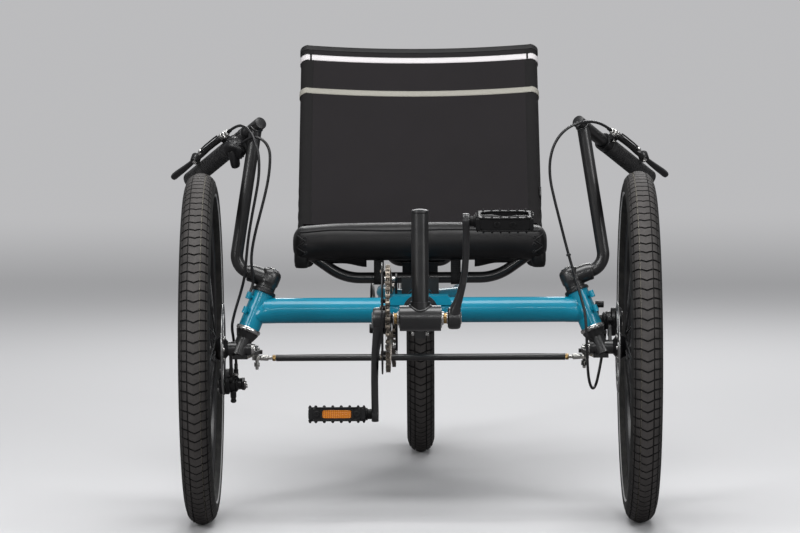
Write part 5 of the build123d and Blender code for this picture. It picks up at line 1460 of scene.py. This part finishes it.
def seat_profile(points, count):
    """Line through (y, z) points with a round bend, and its normals towards the rider."""
    path, length = evenly(curved(points, 24), count)
    slope = unit(np.gradient(path, axis=0))
    normal = np.stack([slope[:, 1], -slope[:, 0]], -1)
    return path, np.where(normal[:, 1:] < 0, -normal, normal), length


path, normal, cloth_length = seat_profile(cloth_line, 150)
print("cloth", round(cloth_length), "mm long")

# %% [markdown]
# The hammock is one sheet of points, across and along. A cloth simulation could hang it too, but
# a sheet that is pulled tight keeps the shape of its frame, so a formula for its sag says the
# same thing, and says it exactly at every run.

# %% Seat cloth
def hang(u, share):
    """Sag = (6 + 5 sin^2(pi s)) (1 - u^2) mm, and the weight's pull down the back, dip =
    5 (1 - u^2) mm, which fades by halfway."""
    slack = 1 - u ** 2
    return (6 + 5 * np.sin(pi * share) ** 2) * slack, 5 * slack * (1 - smooth(share, 0.0, 0.5))


def cloth_points(u):
    """x = 211 u; at its edges the cloth stands 15.6 mm proud of the line. It hangs less than
    that between them, it lies flat over the nose, and a faint ripple crosses it."""
    share = np.linspace(0, 1, len(path))[:, None]
    sag, dip = hang(u, share)
    ripple = 0.35 * np.sin(u * 23 + share * 9) * np.sin(share * 61) * (1 - u ** 2)
    height = cloth_lift - sag * (1 - smooth(share, 0.86, 1.0)) + ripple
    slope = unit(np.gradient(path, axis=0))
    y = path[:, :1] + normal[:, :1] * height + slope[:, :1] * dip
    z = path[:, 1:] + normal[:, 1:] * height + slope[:, 1:] * dip
    return np.stack([np.broadcast_to(cloth_half * u, y.shape), y, z], -1)


sling = Shape().grid(cloth_points(np.linspace(-1, 1, 61)[None]), around=False)
sheet = thicken(sling.become("seat_cloth", seat_body, mesh_cloth, crease=60), 0.0014)
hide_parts("seat_sling")

# %% [markdown]
# The sleeves are the same cloth doubled round the rails, so they are tubes with a slightly
# square section. Near the front they fatten and climb into the rolled edge, and small puckers
# follow the bend, where the cloth on the inside has nowhere to go.

# %% Sleeves
sleeve_path, sleeve_up, _ = seat_profile(sleeve_line, 130)
share = np.linspace(0, 1, len(sleeve_path))[:, None]
ring = oval(1, 1, 2.5, 32)
near_bend = np.exp(-((share - 0.55) / 0.09) ** 2)
pucker = 1 + 0.025 * np.sin(share * 150 + 2 * ring[None, :, 0]) * near_bend
swell = smooth(share, 0.88, 1.0)
close = 1 - 0.55 * smooth(0.012 - share, 0.0, 0.012)
sleeve_half, fatter = 16.8, 11 * swell
side_step = ring[None, :, 0] * 2 * (sleeve_half * close) * pucker
up_step = ring[None, :, 1] * 2 * ((sleeve_half + fatter) * close) * pucker + fatter
for name, flank in sides.items():
    y = sleeve_path[:, :1] + sleeve_up[:, :1] * up_step
    z = sleeve_path[:, 1:] + sleeve_up[:, 1:] * up_step
    sleeve = Shape().grid(np.stack([(rail_x + side_step) * flank[0], y, z], -1), ends=True)
    sleeve.become(f"seat_sleeve_{name}", seat_body, sleeve_cloth, crease=70)
    seam = np.column_stack([np.full(len(share), cloth_half * flank[0]),
                            sleeve_path + sleeve_up * (cloth_lift + fatter + fatter)])
    tube(Shape(), seam[7:-2], 0.65, 8).become(f"seat_seam_{name}", seat_body, binding, crease=70)

# %% [markdown]
# Two woven bands cross the back. They are pale tapes, so they catch a car's lamps. Each follows
# the cloth and wraps round both sleeves; the hem above them is a folded and stitched edge.

# %% Bands and hem
def wrapped(start, end, rise):
    """A tape from sleeve to sleeve: over the cloth, then round each sleeve by an arc."""
    share = np.linspace(start, end, 5)[:, None] / cloth_length
    spot = share * (len(path) - 1)
    low = spot[:, 0].astype(int)
    here = path[low] * (1 - spot + low[:, None]) + path[low + 1] * (spot - low[:, None])
    up = normal[low]
    slope = up[:, ::-1] * [-1, 1]
    u = np.linspace(-1, 1, 60)[None]
    sag, dip = hang(u, share)
    height = cloth_lift - sag + rise
    middle = [np.broadcast_to(cloth_half * u, height.shape)]
    turn = np.linspace(0, 1.15 * pi, 16)[None, 1:]
    arc_up = (17.4 + rise) * np.cos(turn)
    arc = [np.broadcast_to(rail_x + (17.4 + rise) * np.sin(turn), (5, 15))]
    for axis in (0, 1):
        middle.append(here[:, axis, None] + up[:, axis, None] * height
                      + slope[:, axis, None] * dip)
        arc.append(here[:, axis, None] + up[:, axis, None] * arc_up)
    middle, arc = np.stack(middle, -1), np.stack(arc, -1)
    return np.concatenate([(arc * flip)[:, ::-1], middle, arc], 1)


def tape(name, start, end, finish, rise=0.8):
    """A thin woven tape across the back, from start to end millimetres down the cloth."""
    band = Shape().grid(wrapped(start, end, rise), around=False)
    thicken(band.become(name, seat_body, finish, crease=70), 0.001)


tape("seat_band_white", 25, 39, pale_band)
tape("seat_band_grey", 113.5, 127.5, grey_band)
tape("seat_hem", 0.5, 12, binding, 0.9)

# %% [markdown]
# The front edge is a rolled, padded nose in coated cloth. It starts a few millimetres slim,
# and a short cloth simulation blows it up so that it wrinkles and crowns like a stuffed roll.

# %% Padded nose
nose_y, nose_z, nose_taper = -228.25, 483.5, 17


def nose_ring(x):
    """Section of the roll at x: a superellipse that draws in over the last 17 mm of each end."""
    edge = np.clip((np.abs(x) - cloth_half) / nose_taper, 0, 1)
    size = np.sqrt(np.clip(1 - edge ** 2 * 0.85, 0.02, 1))
    ring = oval(72, 62, 2.7, 44)
    droop = 3.5 * smooth(np.abs(x), 150, 225)
    return np.stack([np.broadcast_to(x[:, None], (len(x), 44)),
                     nose_y + ring[None, :, 0] * size[:, None],
                     nose_z - droop[:, None] + ring[None, :, 1] * size[:, None]], -1)


nose_end = cloth_half + nose_taper * np.sin(np.linspace(0, 1, 9) * pi / 2)
nose_x = np.concatenate([-nose_end[::-1], np.linspace(-200, 200, 41), nose_end])
nose = Shape().grid(nose_ring(nose_x), ends=True).become("seat_nose", seat_body, coated, crease=80)


def inflate(piece, voxel, pressure, cap, frames):
    """Voxel remesh, cloth with pressure and no gravity, then no point moves further than cap."""
    bpy.context.view_layer.objects.active = piece
    piece.data.remesh_voxel_size = voxel
    bpy.ops.object.voxel_remesh()
    rest = np.empty(len(piece.data.vertices) * 3, np.float32)
    piece.data.vertices.foreach_get("co", rest)
    cloth = piece.modifiers.new("cloth", "CLOTH")
    cloth.settings.use_pressure = True
    cloth.settings.uniform_pressure_force = pressure
    cloth.settings.effector_weights.gravity = 0.0
    cloth.settings.tension_stiffness = 18
    cloth.settings.bending_stiffness = 0.4
    for number in range(1, frames + 1):
        bpy.context.scene.frame_set(number)
    moved = piece.evaluated_get(bpy.context.evaluated_depsgraph_get()).data
    puffed = np.empty_like(rest)
    moved.vertices.foreach_get("co", puffed)
    step = (puffed - rest).reshape(-1, 3)
    far = np.maximum(np.linalg.norm(step, axis=1, keepdims=True), 1e-9)
    piece.modifiers.remove(cloth)
    final = rest.reshape(-1, 3) + step * np.minimum(1, cap / far)
    piece.data.vertices.foreach_set("co", final.ravel())
    piece.data.update()
    bpy.context.scene.frame_set(1)
    print(piece.name, "puffed by", round(float(far.max()) * 1000, 1), "mm at most")


bpy.context.view_layer.update()
inflate(nose, 0.006, 4.0, 0.004, 20)
nose.data.polygons.foreach_set("use_smooth", np.ones(len(nose.data.polygons), bool))
rounder = nose.modifiers.new("rounder", "SUBSURF")
rounder.levels = rounder.render_levels = 1

# %% [markdown]
# Piping, laces and the little hanging corners are sewn on to the roll. Rays find its surface,
# so that they lie on it wherever the simulation has left it.

# %% Nose trim
bpy.context.view_layer.update()


def on_nose(x, z, lift=0.6):
    """Where a ray from in front meets the nose, for each x and z."""
    found = []
    for one_x, one_z in zip(x, z):
        hit, place, _, _ = nose.ray_cast((one_x / 1000, -0.36, one_z / 1000), (0, 1, 0))
        found.append([one_x, (place.y * 1000 if hit else -262.0) - lift, one_z])
    return np.array(found)


trim = Shape()
x = np.linspace(-214, 214, 70)
sew = 506 - 3.5 * smooth(np.abs(x), 150, 225) + 0.8 * np.sin(x / 31)
tube(trim, on_nose(x, sew), 1.7, 8)
trim.become("nose_piping", seat_body, binding, crease=70)
laces, rings = Shape(), Shape()
for way in (-1, 1):
    for step in range(4):
        z = np.array([497.0, 492, 487]) - 11 * step
        cross = np.array([205.0, 213, 220])[::1 if step % 2 else -1]
        tube(laces, curved(on_nose(cross * way, z, 1.2), 6), 1.3, 8)
    for step in range(3):
        z = 492 - 13.0 * step
        spot = on_nose(np.array([205.0 * way]), np.array([z]), 0.2)[0]
        lathe(rings, [(2.2, -0.6), (3.6, -0.2), (3.6, 0.5), (2.2, 0.9)], Place(spot, (0, -1, 0)),
              20, closed=True)
laces.become("nose_laces", seat_body, binding, crease=70)
rings.become("nose_eyelets", seat_body, anodised, slot="bright_steel")

# %% [markdown]
# Below the nose hang the corner lobes where sleeve and roll are tied off, two flaps, and two
# webbing loops that hold the seat's front to its cross tube.

# %% Corners, flaps and loops
lobes, flaps, loops = Shape(), Shape(), Shape()
lobe_line = np.array([
    # x, y, z, size
    (212.0, -232, 474, 1.0), (212.5, -234, 460, 1.04), (213.0, -234, 449, 1.0),
    (213.0, -233, 441, 0.93), (212.5, -232, 437.4, 0.82), (212.0, -232, 436.6, 0.5)])
for way, left, right in ((-1, -190, -96), (1, 98, 190)):
    x, y, z, size = lobe_line.T[:, :, None]
    ring = oval(26, 44, 3.0, 28)[None] * size[..., None]
    lobes.grid(np.stack([x * way + ring[..., 0], y + ring[..., 1],
                         np.broadcast_to(z, ring.shape[:2])], -1), ends=True)
    u = np.linspace(0, 1, 14)[None]
    drop = np.linspace(0, 1, 6)[:, None]
    inner = smooth(u if way < 0 else 1 - u, 0.55, 1.0)
    flaps.grid(np.stack([left + (right - left) * u + 0 * drop,
                         -246 + 16 * drop + 2 * np.sin(u * 9) * drop,
                         456 - drop * (11 + 7 * inner)], -1), around=False)
for x in (-74.0, 64.0):
    turn = np.linspace(-0.2 * pi, 1.2 * pi, 24)
    low = np.column_stack([nose_y - 11.6 * np.cos(turn), 418 - 11.6 * np.sin(turn)])
    loop = np.concatenate([[[-240.0, 456.0]], low, [[-216.0, 456.0]]])
    band = [np.column_stack([np.full(len(loop), x + edge), loop]) for edge in (-9.0, 9.0)]
    loops.grid(np.stack(band, 1), around=False)
lobes.become("seat_corners", seat_body, coated, crease=80)
for shape, name, finish in ((flaps, "seat_flaps", coated), (loops, "seat_loops", webbing)):
    thicken(shape.become(name, seat_body, finish, crease=70), 0.0016)

# %% [markdown]
# Behind the back, straps with ladder buckles pull the sleeves together. They are flat webbing,
# modelled directly, because a remesh would eat anything so thin.

# %% Straps and buckles
straps, buckles = Shape(), Shape()
for number, distance in enumerate((70.0, 170.0, 270.0, 370.0, 470.0)):
    index = int(distance / cloth_length * (len(path) - 1))
    here, up = path[index], normal[index]
    slope = up[::-1] * [1, -1]
    u = np.linspace(-1, 1, 40)[:, None]
    rise = -18.5 + 1.2 * (1 - u ** 2)
    rows = [np.column_stack([214 * u, here + up * rise + slope * edge]) for edge in (-12.5, 12.5)]
    straps.grid(np.array(rows), around=False)
    place = Place([150.0 - 40 * (number % 2), *(here + up * -20.0)], [0, *(-up)], [0, *slope])
    hoop(buckles, 17.5, 12.4, -1.5, 3.4, place, 0.8, 4)
    for shift, high in ((0, 4.0), (11, 4.4), (-11, 4.4)):
        plate(buckles, oval(30, 5, 4, 20) + [0, shift], place, -1.5, high, 0.8)
thicken(straps.become("seat_straps", seat_body, webbing, crease=70), 0.0015)
slider = Place([226.0, 168.0, 546.0], (1, 0, 0), (0, 0.7, 0.72))
plate(buckles, oval(26, 18, 5, 24), slider, 0, 3, 0.6)
buckles.become("strap_buckles", seat_body, plastic)

# %% [markdown]
# ## Cables
# A brake cable is a steel wire in a stiff black housing. It leaves its stop straight, bows out in
# one long curve and goes straight into the next stop. Its points are the CAD model's own, and a
# NURBS spline is drawn through them, so it bends evenly, as spring steel does.

# %% Cable routes
cable_routes = {
    # mirrored side, body, points
    "brake_cable_left": (1, "knuckle_left", [
        (338.5, -356.8, 686.3), (327.6, -370.9, 695.3), (306, -393.2, 704), (279, -414.2, 703),
        (254, -425.2, 691), (236, -428.2, 668), (227.5, -427.2, 638), (228, -426.2, 604),
        (236, -424.2, 568), (246, -422.2, 528), (256, -422.2, 488), (265, -422.2, 455),
        (273, -424.2, 428), (281, -429.2, 400), (289, -434.2, 371), (291, -439.2, 336),
        (292, -438.2, 300), (293, -439.2, 270), (296, -431.2, 247), (302, -413.2, 233),
        (309, -391.2, 237), (315, -376.2, 259), (322, -368.2, 294.2), (324, -366.2, 318)]),
    "brake_cable_right": (-1, "knuckle_right", [
        (338.5, -356.8, 686.3), (327.6, -370.9, 695.3), (312, -394.2, 701), (297, -417.2, 692),
        (286, -430.2, 672), (280.5, -433.2, 645), (281, -432.2, 612), (287, -429.2, 578),
        (294.5, -426.2, 541), (301, -424.2, 503), (305, -421.2, 466), (308, -416.2, 434),
        (316.1, -403, 404.8), (323.6, -402.8, 381.4), (328.6, -401.8, 363.5),
        (332.3, -401.4, 346.1), (329.5, -395.8, 325), (327.5, -391.8, 306), (325, -392.2, 288),
        (325.5, -391.8, 270)]),
    "shift_cable_front": (-1, "knuckle_right", [
        (312.5, -392.2, 668), (296.1, -413.4, 681.5), (275, -423.2, 678), (262, -426.2, 660),
        (261.5, -427.2, 635), (265, -426.2, 606), (271.5, -425.2, 577), (280, -423.2, 545),
        (289, -423.2, 512), (295.5, -423.2, 478), (296, -422.2, 455), (293.5, -416.8, 437),
        (293.1, -412, 421.3), (298.7, -414.9, 407.7)]),
    "shift_cable_rear": (1, "frame", [
        (-190, -378.1, 374), (-190, -358.1, 374), (-176, -342.2, 368), (-152, -334.2, 360),
        (-120, -333.2, 354), (-88, -337.2, 350), (-58, -340.2, 347), (-39, -333.2, 346),
        (-29, -315.2, 346), (-26, -286.2, 346), (-26.3, -238.2, 345.7), (-26, -183.2, 346),
        (-26.3, -128.2, 345.7), (-26, -68.2, 346), (-26.4, -8.2, 345.7), (-26, 51.8, 346),
        (-26.3, 111.8, 345.6), (-26, 171.8, 346), (-28, 221.8, 342), (-36, 261.8, 331),
        (-50, 293.8, 325), (-66, 329.8, 324), (-75, 376.8, 328), (-76, 431.8, 326),
        (-76, 486.8, 324), (-76.5, 541.8, 317), (-78, 589.8, 308), (-82, 621.8, 301),
        (-88, 651.8, 299), (-92, 677.8, 308), (-94, 703.8, 325), (-96, 731.8, 336),
        (-98, 759.8, 333), (-99, 777.8, 313), (-99, 777.8, 288), (-97.9, 761.9, 271),
        (-95, 735.8, 256.5)]),
}
print(len(cable_routes), "cables")

# %% [markdown]
# The housing is a tube along points read back from that spline, and its ribs are in the finish.
# The front gear cable runs from the right bar, which steers, to the frame, which doesn't, so its
# tube has no parent.

# %% Housings and ferrules
def spline_points(route):
    """The points of a NURBS spline, in millimetres, as Blender itself works them out."""
    line = bpy.data.curves.new("route", "CURVE")
    line.dimensions, line.resolution_u = "3D", 8
    spline = line.splines.new("NURBS")
    spline.points.add(len(route) - 1)
    spline.points.foreach_set("co", np.column_stack([route / 1000, np.ones(len(route))]).ravel())
    spline.order_u = 3
    spline.use_endpoint_u = True
    holder = bpy.data.objects.new("route", line)
    drawn = bpy.data.meshes.new_from_object(holder)
    points = np.empty(len(drawn.vertices) * 3)
    drawn.vertices.foreach_get("co", points)
    bpy.data.objects.remove(holder)
    return points.reshape(-1, 3) * 1000


for name, (side, body, route) in cable_routes.items():
    path = spline_points(np.array(route) * [side, 1, 1])
    housing = Shape().grid(carried(path, circle(12) * 2.5), ends=True)
    piece = housing.become(name, body, sheath, crease=60)
    if name == "shift_cable_front":
        piece.parent = None
        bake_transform(piece)
    else:
        ferrules = Shape()
        for first, second in ((path[0], path[6]), (path[-1], path[-7])):
            lathe(ferrules, [(2.7, 0.2), (3.3, 0.6), (3.3, 9.0), (2.7, 10.0)],
                  Place(first, second - first), 16)
        ferrules.become(name + "_ferrules", body, anodised)

# %% [markdown]
# ## Clips, clamps and caps
# Small hardware finishes the frame: pinch bolts in the boom and seat clamps, a plug in the top
# of the post, and cable ties with their tails cut short.

# %% Clamp bolts, plug and ties
hardware, ties = Shape(), Shape()
for y in (-520.0, -502.0):
    pinch = Place([0, y, 342.5], (1, 0, 0))
    lathe(hardware, [(4.2, -15.5), (4.2, -11.5), (3.4, -10.6)], pinch, 20)
    bolt(hardware, Place(pinch([0, 0, 10.2]), (1, 0, 0)), 4.2, 4.4)
for y in (front_y + 190, front_y + 570):
    for step in (-8, 8):
        nut = Place([0, y + step, 338.0], (1, 0, 0))
        bolt(hardware, Place(nut([0, 0, 10.4]), (1, 0, 0)), 4.0, 4.0)
        lathe(hardware, [(4.6, -14), (5.2, -13.4), (5.2, -10.4)], nut, 6)
hardware.become("clamp_bolts", "frame", steel)
plug = Place(bracket + post_line * 175.2, post_line)
cap = lathe(Shape(), [(14.45, -3), (14.7, -2.6), (14.7, 0.2), (13.9, 2.0), (11.4, 3.4),
                      (7.0, 4.4), (2.0, 4.8)], plug, 40)
cap.become("post_plug", "frame", plastic)


def cable_tie(shape, middle, along, radius, head):
    """A thin band round a line, and its square head."""
    place = Place(middle, along, head)
    hoop(shape, radius + 1.1, radius - 0.2, -1.8, 1.8, place, 0.3, 40)
    return plate(shape, oval(5.5, 5, 6, 20) + [radius + 2.4, 0], place, -2.6, 2.6, 0.5)


for y in (-220.0, -30.0, 130.0):
    cable_tie(ties, [-26.2, y, 345.9], (0, 1, 0), 3.0, (-0.6, 0, -0.8))
for y in (440.0, 560.0):
    cable_tie(ties, [-76.2, y, 324.0 - 7 * (y > 500)], (0, 1, 0), 3.0, (-1, 0, 0))
ties.become("cable_ties", "frame", plastic, slot="cable_black")
ties = Shape()
cable_tie(ties, [260.5, -422.3, 471.0], (0.2, 0, -1.0), 3.0, (0, -1, 0))
ties.become("cable_tie_left", "knuckle_left", plastic, slot="cable_black")

# %% [markdown]
# ## Paint on the CAD parts
# Every part that keeps its CAD shape takes the finish of the real one.

# %% Finishes for the rest
cad_finishes = {
    teal: ("main_frame", "rear_fork"),
    satin_black: ("boom", "boom_clamp", "handlebar_left", "handlebar_right", "knuckle_left",
                  "knuckle_right", "seat_clamps", "tie_rod"),
    gloss_black: ("seat_frame",),
    steel: ("axle_left", "axle_right", "rear_axle"),
}
for finish, names in cad_finishes.items():
    for name in names:
        cad_nodes[name].material_slots[0].material = finish.material
        print(name, "is", finish.material.name)
